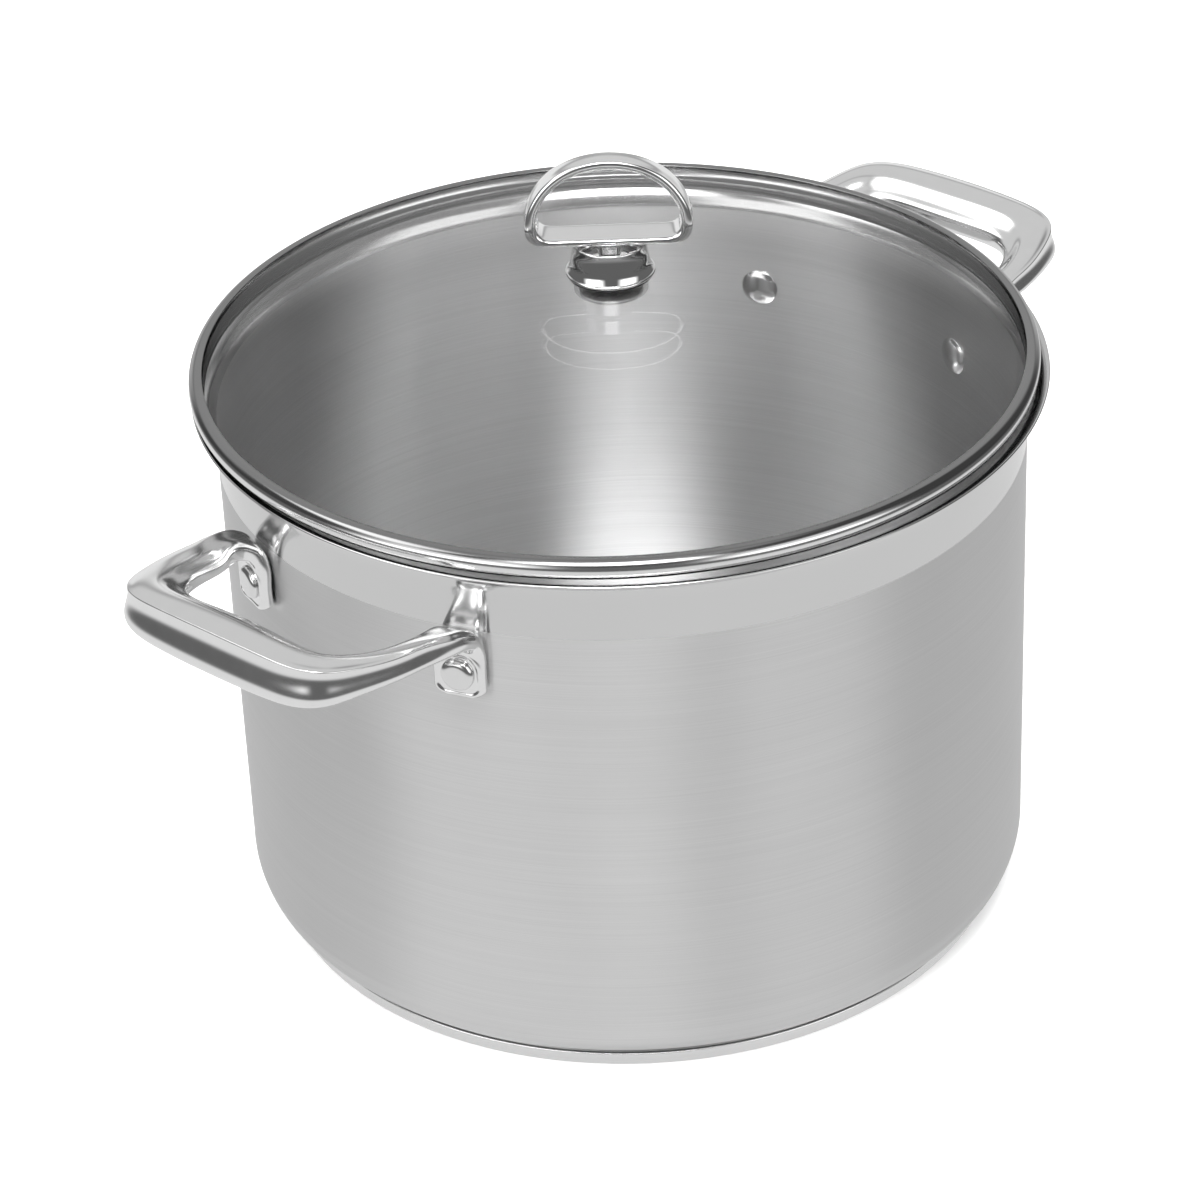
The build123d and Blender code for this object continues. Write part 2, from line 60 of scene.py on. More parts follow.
# base: a core disc held in a thin cap
CORE_R, CORE_TOP_Z = 112.3, SHELL_BOTTOM_Z
BASE_R, CAP_T, CAP_SIDE_Z = 113.3, 0.7, 4.4
GROOVE_RADII, GROOVE_WIDTH, GROOVE_DEPTH = (94.0, 62.0, 30.0), 0.6, 0.25

# handle feet and their rivets
FOOT_ANGLE, RIVET_Z = 18.97, 141.0
SHANK_R, RIVET_HOLE_R, OUTER_HEAD_R = 2.5, 2.52, 4.95
PAD_MID_R, PAD_HALF_T = 123.25, 2.2
RECESS_R = PAD_MID_R + PAD_HALF_T - 0.35

# lid
LID_SHIFT = (-0.30, 1.86)
GLASS_T, GLASS_APEX_Z = 3.6, 204.5
GLASS_RIM_R, GLASS_RIM_Z = 122.6, 179.75
GLASS_HOLE_R, GLASS_FACE_R, GLASS_EDGE_R = 4.6, 123.9, 124.9
BAND_T = 0.45
KNOB_TURN = -49.0
CUP_BASE_Z, CUP_TOP_Z, CUP_FLOOR_Z, CUP_FLANGE_R = 205.1, 215.3, 206.3, 13.3
GASKET_HOLE_R, GASKET_MID_R, GASKET_R = 4.72, 8.6, 12.3


# ================================================================ outlines and splines
def spread(start, end, steps):
    """Evenly spaced numbers from start to end, both included."""
    return [start + (end - start) * k / steps for k in range(steps + 1)]


def arc(centre_x, centre_z, radius, start, end, steps):
    """Points of an arc, angles in degrees."""
    angles = [math.radians(angle) for angle in spread(start, end, steps)]
    return [(centre_x + radius * math.cos(angle), centre_z + radius * math.sin(angle))
            for angle in angles]


def line(start, end, steps):
    return list(zip(spread(start[0], end[0], steps), spread(start[1], end[1], steps)))


def join(*runs):
    """One outline from several runs, without repeated points."""
    outline = []
    for run in runs:
        for point in run:
            if outline:
                last = outline[-1]
                if math.hypot(point[0] - last[0], point[1] - last[1]) <= 1e-6:
                    continue
            outline.append(tuple(point))
    return outline


def soften(corners, radii, steps=6):
    """Rounds the corners of an open outline, with one radius to each; zero keeps it sharp."""
    outline = []
    for k, (point, radius) in enumerate(zip(corners, radii)):
        if radius <= 0:
            outline.append(tuple(point))
            continue
        corner = np.array(point, float)
        back = np.array(corners[k - 1], float) - corner
        ahead = np.array(corners[k + 1], float) - corner
        back_length, ahead_length = np.linalg.norm(back), np.linalg.norm(ahead)
        back, ahead = back / back_length, ahead / ahead_length
        half = math.acos(max(-1, min(1, float(back @ ahead)))) / 2
        cut = min(radius / math.tan(half), 0.45 * back_length, 0.45 * ahead_length)
        start, end = corner + back * cut, corner + ahead * cut
        # a point just outside each end of the rounding keeps the shading tight
        guard = min(0.15, cut * 0.3)
        outline.append(tuple(start + back * guard))
        for i in range(steps + 1):
            # a rational quadratic curve through the corner
            u = i / steps
            weights = ((1 - u) ** 2, 2 * (1 - u) * u * math.sin(half), u ** 2)
            total = weights[0] * start + weights[1] * corner + weights[2] * end
            outline.append(tuple(total / sum(weights)))
        outline.append(tuple(end + ahead * guard))
    return join(outline)


def distances(points):
    """Distance travelled along a polyline at each of its points."""
    return np.concatenate([[0], np.cumsum(np.linalg.norm(np.diff(points, axis=0), axis=1))])


def hermite(start, end, start_slope, end_slope, u):
    return ((2 * u ** 3 - 3 * u ** 2 + 1) * start + (u ** 3 - 2 * u ** 2 + u) * start_slope
            + (-2 * u ** 3 + 3 * u ** 2) * end + (u ** 3 - u ** 2) * end_slope)


def spline_slopes(knots, points, periodic=False):
    """Slopes at the knots of the C2 cubic through the points, which may be arrays."""
    count = len(knots)
    gaps = np.diff(knots)
    rates = np.diff(points, axis=0) / gaps.reshape((-1,) + (1,) * (points.ndim - 1))
    system = np.zeros((count, count))
    target = np.zeros((count,) + points.shape[1:])
    for k in range(1, count - 1):
        system[k, k - 1:k + 2] = gaps[k], 2 * (gaps[k - 1] + gaps[k]), gaps[k - 1]
        target[k] = 3 * (gaps[k] * rates[k - 1] + gaps[k - 1] * rates[k])
    if periodic:
        system[0, 0] = 2 * (gaps[-1] + gaps[0])
        system[0, 1], system[0, count - 2] = gaps[-1], gaps[0]
        target[0] = 3 * (gaps[0] * rates[-1] + gaps[-1] * rates[0])
        system[-1, -1], system[-1, 0] = 1, -1
    else:
        system[0, 0], system[0, 1] = 2, 1
        target[0] = 3 * rates[0]
        system[-1, -1], system[-1, -2] = 2, 1
        target[-1] = 3 * rates[-1]
    return np.linalg.solve(system, target.reshape(count, -1)).reshape(target.shape)


def spline_points(points, samples, periodic=False):
    """Samples a C2 cubic through the points; samples is one number or one to each interval."""
    points = np.asarray(points, float)
    if periodic:
        points = np.vstack([points, points[:1]])
    knots = distances(points)
    slopes = spline_slopes(knots, points, periodic)
    curve = []
    for k, count in enumerate(np.broadcast_to(samples, len(points) - 1)):
        gap = knots[k + 1] - knots[k]
        u = (np.arange(count) / count)[:, None]
        curve.append(hermite(points[k], points[k + 1], slopes[k] * gap, slopes[k + 1] * gap, u))
    if not periodic:
        curve.append(points[-1:])
    return np.vstack(curve)


# ================================================================ mesh helpers
def mesh_object(name, verts, faces, mat, unit=MM):
    """A smooth-shaded object with normals made consistent; unit is the points' unit in metres."""
    mesh = bpy.data.meshes.new(name)
    points = np.asarray(verts, float) * unit
    mesh.from_pydata([tuple(point) for point in points.tolist()], [],
                     [tuple(face) for face in faces])
    work = bmesh.new()
    work.from_mesh(mesh)
    bmesh.ops.recalc_face_normals(work, faces=work.faces)
    work.to_mesh(mesh)
    work.free()
    mesh.polygons.foreach_set("use_smooth", [True] * len(mesh.polygons))
    mesh.update()
    ob = bpy.data.objects.new(name, mesh)
    scene.collection.objects.link(ob)
    ob.data.materials.append(mat)
    return ob


def turned_rows(profile, angles, point_at):
    """Vertices of a turned profile and the vertex numbers of each row.

    A profile point on the axis makes a row of one vertex.
    """
    verts, rows = [], []
    for reach, height in profile:
        spots = angles[:1] if reach < 1e-6 else angles
        rows.append(list(range(len(verts), len(verts) + len(spots))))
        verts += [point_at(reach, height, angle) for angle in spots]
    return verts, rows


def row_faces(lower, upper, skip=()):
    """Faces between two closed rows of vertices; either row may be a single vertex."""
    faces = []
    count = max(len(lower), len(upper))
    for k in range(count):
        j = (k + 1) % count
        if k in skip:
            continue
        if len(lower) == 1:
            faces.append((lower[0], upper[j], upper[k]))
        elif len(upper) == 1:
            faces.append((lower[k], lower[j], upper[0]))
        else:
            faces.append((lower[k], lower[j], upper[j], upper[k]))
    return faces


def full_turn(segments):
    return [2 * math.pi * k / segments for k in range(segments)]


def lathe(name, profile, mat, segments, centre=(0.0, 0.0), closed=False):
    """Turns a profile of (radius, height) about a vertical axis.

    A closed profile joins its last point to its first; an open one has both ends on the axis.
    """
    def point_at(radius, height, angle):
        return (centre[0] + radius * math.cos(angle), centre[1] + radius * math.sin(angle), height)

    verts, rows = turned_rows(profile, full_turn(segments), point_at)
    following = rows[1:] + rows[:1] if closed else rows[1:]
    faces = []
    for lower, upper in zip(rows, following):
        faces += row_faces(lower, upper)
    return mesh_object(name, verts, faces, mat)


# ================================================================ node helpers
class Graph:
    """Short ways to build a node tree; a value may be a number, a colour or an output socket."""

    def __init__(self, tree):
        self.tree = tree

    def new(self, kind, **props):
        node = self.tree.nodes.new(kind)
        for key, value in props.items():
            setattr(node, key, value)
        return node

    def put(self, socket, value):
        if isinstance(value, bpy.types.NodeSocket):
            self.tree.links.new(value, socket)
        elif socket.type == "RGBA" and len(value) == 3:
            socket.default_value = (*value, 1.0)
        else:
            socket.default_value = value

    def fill(self, node, values):
        """Sets a node's inputs from a table of input name or number and value."""
        for key, value in values.items():
            self.put(node.inputs[key], value)
        return node

    def math(self, operation, *values, clamp=False):
        node = self.new("ShaderNodeMath", operation=operation, use_clamp=clamp)
        return self.fill(node, dict(enumerate(values))).outputs[0]

    def add(self, first, *others):
        for other in others:
            first = self.math("ADD", first, other)
        return first

    def multiply(self, first, second):
        return self.math("MULTIPLY", first, second)

    def scaled(self, value, gain, offset):
        """value * gain + offset"""
        return self.math("MULTIPLY_ADD", value, gain, offset)

    def centred(self, value, spread):
        """Turns 0..1 into a swing of the given spread about zero."""
        return self.scaled(value, gain=spread, offset=-spread / 2)

    def length(self, x, y):
        return self.math("SQRT", self.add(self.multiply(x, x), self.multiply(y, y)))

    def vmath(self, operation, first, second=None, scale=None):
        node = self.new("ShaderNodeVectorMath", operation=operation)
        self.put(node.inputs[0], first)
        if second is not None:
            self.put(node.inputs[1], second)
        if scale is not None:
            self.put(node.inputs["Scale"], scale)
        return node.outputs["Value" if operation == "DOT_PRODUCT" else "Vector"]

    def split(self, vector):
        node = self.new("ShaderNodeSeparateXYZ")
        self.put(node.inputs[0], vector)
        return node.outputs

    def vector(self, x, y, z):
        return self.fill(self.new("ShaderNodeCombineXYZ"), {0: x, 1: y, 2: z}).outputs[0]

    def grey(self, value):
        node = self.new("ShaderNodeCombineColor")
        return self.fill(node, {0: value, 1: value, 2: value}).outputs[0]

    def step(self, value, start, end, before=0.0, after=1.0):
        """A smooth step from one value to another as the input goes from start to end."""
        node = self.new("ShaderNodeMapRange", interpolation_type="SMOOTHSTEP")
        return self.fill(node, {"Value": value, "From Min": start, "From Max": end,
                                "To Min": before, "To Max": after}).outputs["Result"]

    def mix(self, share, at_zero, at_one):
        node = self.new("ShaderNodeMix", data_type="FLOAT")
        return self.fill(node, {0: share, 2: at_zero, 3: at_one}).outputs[0]

    def noise(self, vector, scale, detail, rough=0.5):
        node = self.new("ShaderNodeTexNoise")
        return self.fill(node, {"Vector": vector, "Scale": scale, "Detail": detail,
                                "Roughness": rough}).outputs[0]

    def position(self):
        return self.new("ShaderNodeTexCoord").outputs["Object"]

    def bump(self, height, distance, strength):
        node = self.new("ShaderNodeBump")
        return self.fill(node, {"Strength": strength, "Distance": distance,
                                "Height": height}).outputs[0]

    def mix_shader(self, share, at_zero, at_one):
        node = self.new("ShaderNodeMixShader")
        return self.fill(node, {0: share, 1: at_zero, 2: at_one}).outputs[0]

    def set_surface(self, shader):
        output = next(node for node in self.tree.nodes if node.type == "OUTPUT_MATERIAL")
        self.put(output.inputs["Surface"], shader)


def new_material(name):
    mat = bpy.data.materials.new(name)
    mat.use_nodes = True
    return mat, Graph(mat.node_tree), mat.node_tree.nodes["Principled BSDF"]


# ================================================================ studio light, by direction
TABLE_LIGHT, ROOM_LIGHT = 0.85, 0.14     # radiance of the white table and of the dim room
TABLE_EDGE = (-22.0, -12.0)              # elevations between which one fades into the other
DEGREES = 180 / math.pi
# soft panels: azimuth (the viewer is at -90, the viewer's right at 0), half width,
# elevation, half height, soft edge, radiance
PANELS = [
    (92.0, 36.0, 0.0, 14.0, 10.0, 0.9),       # pale backdrop behind the pot
    (0.0, 360.0, 80.0, 12.0, 14.0, 0.7),      # ceiling
    (-94.0, 26.0, 58.0, 14.0, 14.0, 13.0),    # key, high behind the viewer
    (-136.0, 22.0, 22.0, 18.0, 12.0, 2.6),    # low panel, to the viewer's left
    (-42.0, 22.0, 22.0, 18.0, 12.0, 2.2),     # low panel, to the viewer's right
    (175.0, 30.0, 52.0, 12.0, 12.0, 3.5),     # side panel, to the left
    (100.0, 50.0, 42.0, 24.0, 12.0, 0.7),     # reflector beyond the pot
]


def studio(graph, direction):
    """Radiance arriving from a direction; the panels stand still with the viewer."""
    turned = graph.new("ShaderNodeVectorRotate", rotation_type="Z_AXIS")
    graph.fill(turned, {"Vector": direction, "Angle": math.radians(VIEW_TURN)})
    x, y, z = graph.split(graph.vmath("NORMALIZE", turned.outputs[0]))
    # kept above zero so that straight up can be divided by it
    level = graph.math("MAXIMUM", graph.length(x, y), 0.0001)
    elevation = graph.multiply(graph.math("ARCSINE", z), DEGREES)
    light = graph.step(elevation, *TABLE_EDGE, before=TABLE_LIGHT, after=ROOM_LIGHT)
    for azimuth, half_width, height, half_height, edge, radiance in PANELS:
        angle = math.radians(azimuth)
        facing = graph.add(graph.multiply(x, math.cos(angle)), graph.multiply(y, math.sin(angle)))
        facing = graph.math("DIVIDE", facing, level)
        facing = graph.math("MINIMUM", graph.math("MAXIMUM", facing, -1.0), 1.0)
        aside = graph.multiply(graph.math("ARCCOSINE", facing), DEGREES)
        across = graph.step(aside, half_width - edge, half_width + edge, before=1.0, after=0.0)
        above = graph.math("ABSOLUTE", graph.math("SUBTRACT", elevation, height))
        upright = graph.step(above, half_height - edge / 2, half_height + edge / 2,
                             before=1.0, after=0.0)
        light = graph.mix(graph.multiply(across, upright), at_zero=light, at_one=radiance)
    return graph.vector(light, light, light)


def build_world():
    """The studio lights the scene, while the camera itself sees plain white."""
    world = bpy.data.worlds.new("studio")
    scene.world = world
    world.use_nodes = True
    graph = Graph(world.node_tree)
    graph.tree.nodes.clear()
    sky = studio(graph, graph.new("ShaderNodeTexCoord").outputs["Generated"])
    is_camera = graph.new("ShaderNodeLightPath").outputs["Is Camera Ray"]
    # inputs 0, 6 and 7 of a colour mix are its share and its two colours
    seen = graph.fill(graph.new("ShaderNodeMix", data_type="RGBA"),
                      {0: is_camera, 6: sky, 7: (1.0, 1.0, 1.0)}).outputs[2]
    background = graph.fill(graph.new("ShaderNodeBackground"), {"Color": seen, "Strength": 1.0})
    graph.fill(graph.new("ShaderNodeOutputWorld"), {"Surface": background.outputs[0]})


build_world()


# ================================================================ materials
def turned_coordinates(graph, shift=(0.0, 0.0)):
    """Position in metres, and radius and height in mm, about the pot's axis or the lid's."""
    point = graph.vmath("SUBTRACT", graph.position(), (shift[0] * MM, shift[1] * MM, 0.0))
    x, y, z = graph.split(point)
    radius = graph.length(x, y)
    return point, graph.multiply(radius, 1 / MM), graph.multiply(z, 1 / MM)


def brushed_lines(graph, point, radius, height, fine, along):
    """Streaks round the axis, on walls and floors alike.

    fine is the pattern's rate across the sheet, per mm; along is its rate round it, per metre.
    """
    x, y, _ = graph.split(point)
    across = graph.multiply(graph.add(radius, height), fine)
    vector = graph.vector(graph.multiply(x, along), graph.multiply(y, along), across)
    return graph.noise(vector, scale=1.0, detail=3.0, rough=0.6)


def stretch_round_axis(graph, bsdf, amount):
    """Stretches highlights across streaks that run round the Z axis."""
    tangent = graph.new("ShaderNodeTangent", direction_type="RADIAL", axis="Z")
    graph.fill(bsdf, {"Anisotropic": amount, "Anisotropic Rotation": 0.25,
                      "Tangent": tangent.outputs[0]})


def steel_body():
    """Brushed steel, polished on the upper outside and on the flared lip."""
    mat, graph, bsdf = new_material("brushed_body")
    point, radius, height = turned_coordinates(graph)
    fine = brushed_lines(graph, point, radius, height, fine=5.0, along=14.0)
    broad = brushed_lines(graph, point, radius, height, fine=0.55, along=9.0)
    cloud = graph.noise(point, scale=22.0, detail=3.0)
    outside = graph.math("GREATER_THAN", radius, INNER_R + WALL_T / 2)

    # outside, the polish starts at a crisp line; inside, only the flared lip has it
    band_out = graph.step(height, POLISH_Z - 0.15, POLISH_Z + 0.15)
    band_in = graph.step(height, FLARE_START_Z + 0.4, FLARE_START_Z + 2.2)
    floor_end_z = 19.5
    is_wall = graph.math("GREATER_THAN", height, floor_end_z)
    polished = graph.multiply(graph.mix(outside, at_zero=band_in, at_one=band_out), is_wall)

    grain = graph.scaled(fine, gain=graph.mix(outside, at_zero=0.22, at_one=0.13),
                         offset=graph.mix(outside, at_zero=-0.11, at_one=-0.065))
    brushed_tone = 0.66
    tone = graph.add(brushed_tone, grain, graph.centred(broad, spread=0.04),
                     graph.centred(cloud, spread=0.05))
    colour = graph.mix(polished, at_zero=tone,
                       at_one=graph.scaled(cloud, gain=0.03, offset=0.63))
    rough = graph.add(graph.mix(outside, at_zero=0.34, at_one=0.30),
                      graph.centred(fine, spread=0.06))
    relief = graph.multiply(fine, graph.mix(polished, at_zero=1.0, at_one=0.05))
    graph.fill(bsdf, {
        "Base Color": graph.grey(colour),
        "Metallic": 1.0,
        "Roughness": graph.mix(polished, at_zero=rough, at_one=0.15),
        "Normal": graph.bump(relief, distance=0.00001, strength=0.30),
    })
    stretch_round_axis(graph, bsdf, graph.mix(polished, at_zero=0.97, at_one=0.55))
    return mat


def steel_turned(name, tone, rough, stretch, fine, grain=0.06, shift=(0.0, 0.0), bump=0.15):
    """Metal finished on a lathe: faint rings round the axis."""
    mat, graph, bsdf = new_material(name)
    point, radius, height = turned_coordinates(graph, shift)
    rings = brushed_lines(graph, point, radius, height, fine=fine, along=10.0)
    cloud = graph.noise(point, scale=60.0, detail=3.0)
    marks = graph.add(graph.centred(rings, spread=grain), graph.centred(cloud, spread=0.05))
    graph.fill(bsdf, {
        "Base Color": graph.grey(graph.add(tone, marks)),
        "Metallic": 1.0,
        "Roughness": graph.add(rough, graph.centred(rings, spread=rough * 0.4)),
        "Normal": graph.bump(rings, distance=0.00001, strength=bump),
    })
    stretch_round_axis(graph, bsdf, stretch)
    return mat


def steel_band():
    """The lid's rolled band: bright on its outer face, with painted shade along the roll and
    underneath.
    """
    mat, graph, bsdf = new_material("band_steel")
    point, radius, height = turned_coordinates(graph, LID_SHIFT)
    rings = brushed_lines(graph, point, radius, height, fine=7.0, along=10.0)
    cloud = graph.noise(point, scale=60.0, detail=3.0)
    tone_before_painted_shade = graph.add(graph.scaled(rings, gain=0.03, offset=0.73),
                    graph.centred(cloud, spread=0.05))
    # painted shade along the roll: the band's colour is darkened on top of the roll and towards
    # its inner edge
    roll = graph.math("MAXIMUM", graph.step(height, start=178.9, end=179.5),
                      graph.step(radius, start=125.4, end=124.9))
    tone = graph.multiply(tone_before_painted_shade, graph.scaled(roll, gain=-0.62, offset=1.0))
    # painted shade on the band's underside: while the lid is down, the polished lip mirrors it as
    # a dark gap
    under = graph.step(height, start=175.4, end=176.2, before=1.0, after=0.0)
    tone = graph.multiply(tone, graph.scaled(under, gain=-0.93, offset=1.0))
    graph.fill(bsdf, {
        "Base Color": graph.grey(tone),
        "Metallic": 1.0,
        "Roughness": graph.scaled(rings, gain=0.05, offset=0.13),
        "Normal": graph.bump(rings, distance=0.00001, strength=0.05),
    })
    return mat


def steel_cast(name, tone, rough, wave=0.00002, scale=38.0):
    """Cast steel polished by hand: a soft waviness and a faint haze in patches."""
    mat, graph, bsdf = new_material(name)
    point = graph.position()
    wavy = graph.noise(point, scale=scale, detail=1.5, rough=0.4)
    haze = graph.noise(point, scale=160.0, detail=4.0, rough=0.65)
    drag_rate = (240.0, 240.0, 2600.0)     # fine level streaks, per metre
    drag = graph.noise(graph.vmath("MULTIPLY", point, drag_rate), scale=1.0, detail=2.0)
    marks = graph.add(graph.scaled(haze, gain=0.05, offset=-0.02),
                      graph.centred(drag, spread=0.02))
    graph.fill(bsdf, {
        "Base Color": graph.grey(graph.add(tone, graph.centred(haze, spread=0.06))),
        "Metallic": 1.0,
        "Roughness": graph.add(rough, marks),
        "Normal": graph.bump(wavy, distance=wave, strength=0.5),
    })
    return mat


GLASS_SHINE = 0.40     # share kept of the glass's full reflection


def clear_glass():
    """Clear glass: light passes straight through, with a weak reflection, stronger at a slant."""
    mat, graph, bsdf = new_material("lid_glass")
    point = graph.position()
    smear = graph.noise(point, scale=45.0, detail=4.0, rough=0.6)
    wave = graph.noise(point, scale=14.0, detail=1.0)
    geometry = graph.new("ShaderNodeNewGeometry")
    cosine = graph.math("ABSOLUTE", graph.vmath("DOT_PRODUCT", geometry.outputs["Incoming"],
                                                geometry.outputs["Normal"]))

    def slant(power):
        return graph.math("POWER", graph.math("SUBTRACT", 1.0, cosine, clamp=True), power)

    reflection = graph.multiply(graph.scaled(slant(power=5.0), gain=0.96, offset=0.04),
                                GLASS_SHINE)
    slant_loss = -0.12
    clearness = graph.add(graph.scaled(smear, gain=0.012, offset=0.976),
                          graph.multiply(slant(power=2.0), slant_loss))
    through = graph.fill(graph.new("ShaderNodeBsdfTransparent"), {"Color": graph.grey(clearness)})
    shine = graph.fill(graph.new("ShaderNodeBsdfGlossy"), {
        "Color": (0.98, 0.98, 0.98),
        "Roughness": graph.scaled(smear, gain=0.03, offset=0.01),
        "Normal": graph.bump(wave, distance=0.00002, strength=0.06),
    })
    graph.set_surface(graph.mix_shader(reflection, through.outputs[0], shine.outputs[0]))
    # the plain values stay on the standard shader for the exported model
    graph.fill(bsdf, {
        "Base Color": (0.95, 0.96, 0.96, 1.0),
        "Roughness": 0.02,
        "Transmission Weight": 1.0,
        "IOR": 1.45,
    })
    return mat


def rubber():
    """Black rubber with a fine grain."""
    mat, graph, bsdf = new_material("seal_rubber")
    grain = graph.noise(graph.position(), scale=900.0, detail=4.0)
    graph.fill(bsdf, {
        "Base Color": graph.grey(graph.scaled(grain, gain=0.02, offset=0.02)),
        "Roughness": graph.scaled(grain, gain=0.2, offset=0.5),
        "Normal": graph.bump(grain, distance=0.00002, strength=0.3),
    })
    return mat


def silicone():
    """Clear silicone, a little milky."""
    mat, graph, bsdf = new_material("seal_silicone")
    cloudy = graph.noise(graph.position(), scale=500.0, detail=3.0)
    graph.fill(bsdf, {
        "Base Color": graph.grey(graph.scaled(cloudy, gain=0.10, offset=0.62)),
        "Roughness": graph.scaled(cloudy, gain=0.2, offset=0.25),
    })
    through = graph.fill(graph.new("ShaderNodeBsdfTransparent"), {"Color": (0.96, 0.96, 0.96)})
    milkiness = graph.scaled(cloudy, gain=0.15, offset=0.10)
    graph.set_surface(graph.mix_shader(milkiness, through.outputs[0], bsdf.outputs[0]))
    return mat


BODY_STEEL = steel_body()
BASE_STEEL = steel_turned("base_steel", tone=0.84, rough=0.24, stretch=0.7, fine=6.0)
CORE_METAL = steel_turned("core_aluminium", tone=0.60, rough=0.42, stretch=0.6, fine=5.0)
HANDLE_STEEL = steel_cast("cast_polished", tone=0.80, rough=0.14)
RIVET_STEEL = steel_cast("rivet_steel", tone=0.74, rough=0.16, wave=0.00001, scale=120.0)
BAND_STEEL = steel_band()
KNOB_STEEL = steel_cast("knob_polished", tone=0.84, rough=0.10, wave=0.00001, scale=60.0)
CUP_STEEL = steel_turned("knob_polished_turned", tone=0.80, rough=0.05, stretch=0.1, fine=9.0,
                         grain=0.03, shift=LID_SHIFT, bump=0.03)
SEAL_RUBBER = rubber()
CLEAR_SILICONE = silicone()
HARDWARE_STEEL = steel_turned("hardware_steel", tone=0.70, rough=0.38, stretch=0.4, fine=8.0,
                              shift=LID_SHIFT)
LID_GLASS = clear_glass()


# ================================================================ pot body
# each rivet hole is cut in a square block of faces, BLOCK_CELLS each way
BLOCK_HALF, BLOCK_CELLS = 7.6, 8
BLOCK_HEIGHTS = spread(RIVET_Z - BLOCK_HALF, RIVET_Z + BLOCK_HALF, BLOCK_CELLS)
BLOCK_ANGLE = math.degrees(BLOCK_HALF / WALL_R)
HOLE_RING_SHARES = (0.35, 0.65, 0.85, 1.0)     # from the block's border to the hole's edge


def pot_profile():
    """The sheet's outline: out along the bottom, up outside, over the lip and back inside."""
    corner_x, corner_z = WALL_R - CORNER_R, SHELL_BOTTOM_Z + CORNER_R
    floor_z = SHELL_BOTTOM_Z + WALL_T
    flare_x = WALL_R + FLARE_R
    lip = math.radians(FLARE_ANGLE)
    mid_flare_r = FLARE_R + WALL_T / 2
    heights = (spread(corner_z, BLOCK_HEIGHTS[0], 40)[:-1] + BLOCK_HEIGHTS
               + spread(BLOCK_HEIGHTS[-1], FLARE_START_Z, 12)[1:])
    return join(
        line((0.0, SHELL_BOTTOM_Z), (corner_x, SHELL_BOTTOM_Z), 14),
        arc(corner_x, corner_z, CORNER_R, -90, 0, 32),
        [(WALL_R, z) for z in heights],
        arc(flare_x, FLARE_START_Z, FLARE_R, 180, 180 - FLARE_ANGLE, 36),
        arc(flare_x - mid_flare_r * math.cos(lip), FLARE_START_Z + mid_flare_r * math.sin(lip),
            WALL_T / 2, -FLARE_ANGLE, 180 - FLARE_ANGLE, 10),
        arc(flare_x, FLARE_START_Z, FLARE_R + WALL_T, 180 - FLARE_ANGLE, 180, 36),
        [(INNER_R, z) for z in heights[::-1]],
        arc(corner_x, corner_z, CORNER_R - WALL_T, 0, -90, 32),
        line((corner_x, floor_z), (0.0, floor_z), 14))


def pot_turns():
    """Angles of the pot's columns, and each block's centre angle and first column, in degrees."""
    centres = sorted((side + foot) % 360 for side in (0, 180)
                     for foot in (-FOOT_ANGLE, FOOT_ANGLE))
    angles, blocks = [], []
    for k, centre in enumerate(centres):
        blocks.append((centre, len(angles)))
        end = centre + BLOCK_ANGLE
        angles += spread(centre - BLOCK_ANGLE, end, BLOCK_CELLS)[:-1]
        next_start = (centres[(k + 1) % 4] - BLOCK_ANGLE) % 360
        gap = (next_start - end) % 360
        angles += spread(end, end + gap, max(8, round(gap / 1.0)))[:-1]
    return angles, blocks


def rivet_hole(verts, row_at, centre, first, columns):
    """Fills one block with rings of faces round a hole through the sheet."""
    cells = range(BLOCK_CELLS)
    # the block's border as (column, row) cells
    border = ([(j, 0) for j in cells] + [(BLOCK_CELLS, j) for j in cells]
              + [(BLOCK_CELLS - j, BLOCK_CELLS) for j in cells]
              + [(0, BLOCK_CELLS - j) for j in cells])
    turns = spread(-BLOCK_ANGLE, BLOCK_ANGLE, BLOCK_CELLS)
    # distance from the rivet's axis, round the wall and up
    places = [(math.radians(turns[column]) * WALL_R, BLOCK_HEIGHTS[row] - RIVET_Z)
              for column, row in border]
    faces, edges = [], []
    for radius in (WALL_R, INNER_R):
        previous = [row_at[(radius, BLOCK_HEIGHTS[row])][(first + column) % columns]
                    for column, row in border]
        for share in HOLE_RING_SHARES:
            ring = []
            for side, rise in places:
                reach = math.hypot(side, rise)
                ring_side = side + (side / reach * RIVET_HOLE_R - side) * share
                ring_rise = rise + (rise / reach * RIVET_HOLE_R - rise) * share
                angle = math.radians(centre) + ring_side / WALL_R
                ring.append(len(verts))
                verts.append((radius * math.cos(angle), radius * math.sin(angle),
                              RIVET_Z + ring_rise))
            faces += row_faces(previous, ring)
            previous = ring
        edges.append(previous)
    return faces + row_faces(*edges)


def pot_body():
    profile = pot_profile()
    angles, blocks = pot_turns()
    columns = len(angles)
    verts, rows = turned_rows(
        profile, [math.radians(angle) for angle in angles],
        lambda radius, height, angle: (radius * math.cos(angle), radius * math.sin(angle), height))
    block_columns = {(first + k) % columns for _, first in blocks for k in range(BLOCK_CELLS)}
    faces = []
    for i, (lower, upper) in enumerate(zip(rows, rows[1:])):
        (radius_a, z_a), (radius_b, z_b) = profile[i], profile[i + 1]
        in_block = (abs(radius_a - radius_b) < 1e-9 and min(z_a, z_b) > BLOCK_HEIGHTS[0] - 1e-6
                    and max(z_a, z_b) < BLOCK_HEIGHTS[-1] + 1e-6)
        faces += row_faces(lower, upper, skip=block_columns if in_block else ())
    row_at = dict(zip(profile, rows))
    for centre, first in blocks:
        faces += rivet_hole(verts, row_at, centre, first, columns)
    return mesh_object("pot_body", verts, faces, BODY_STEEL)


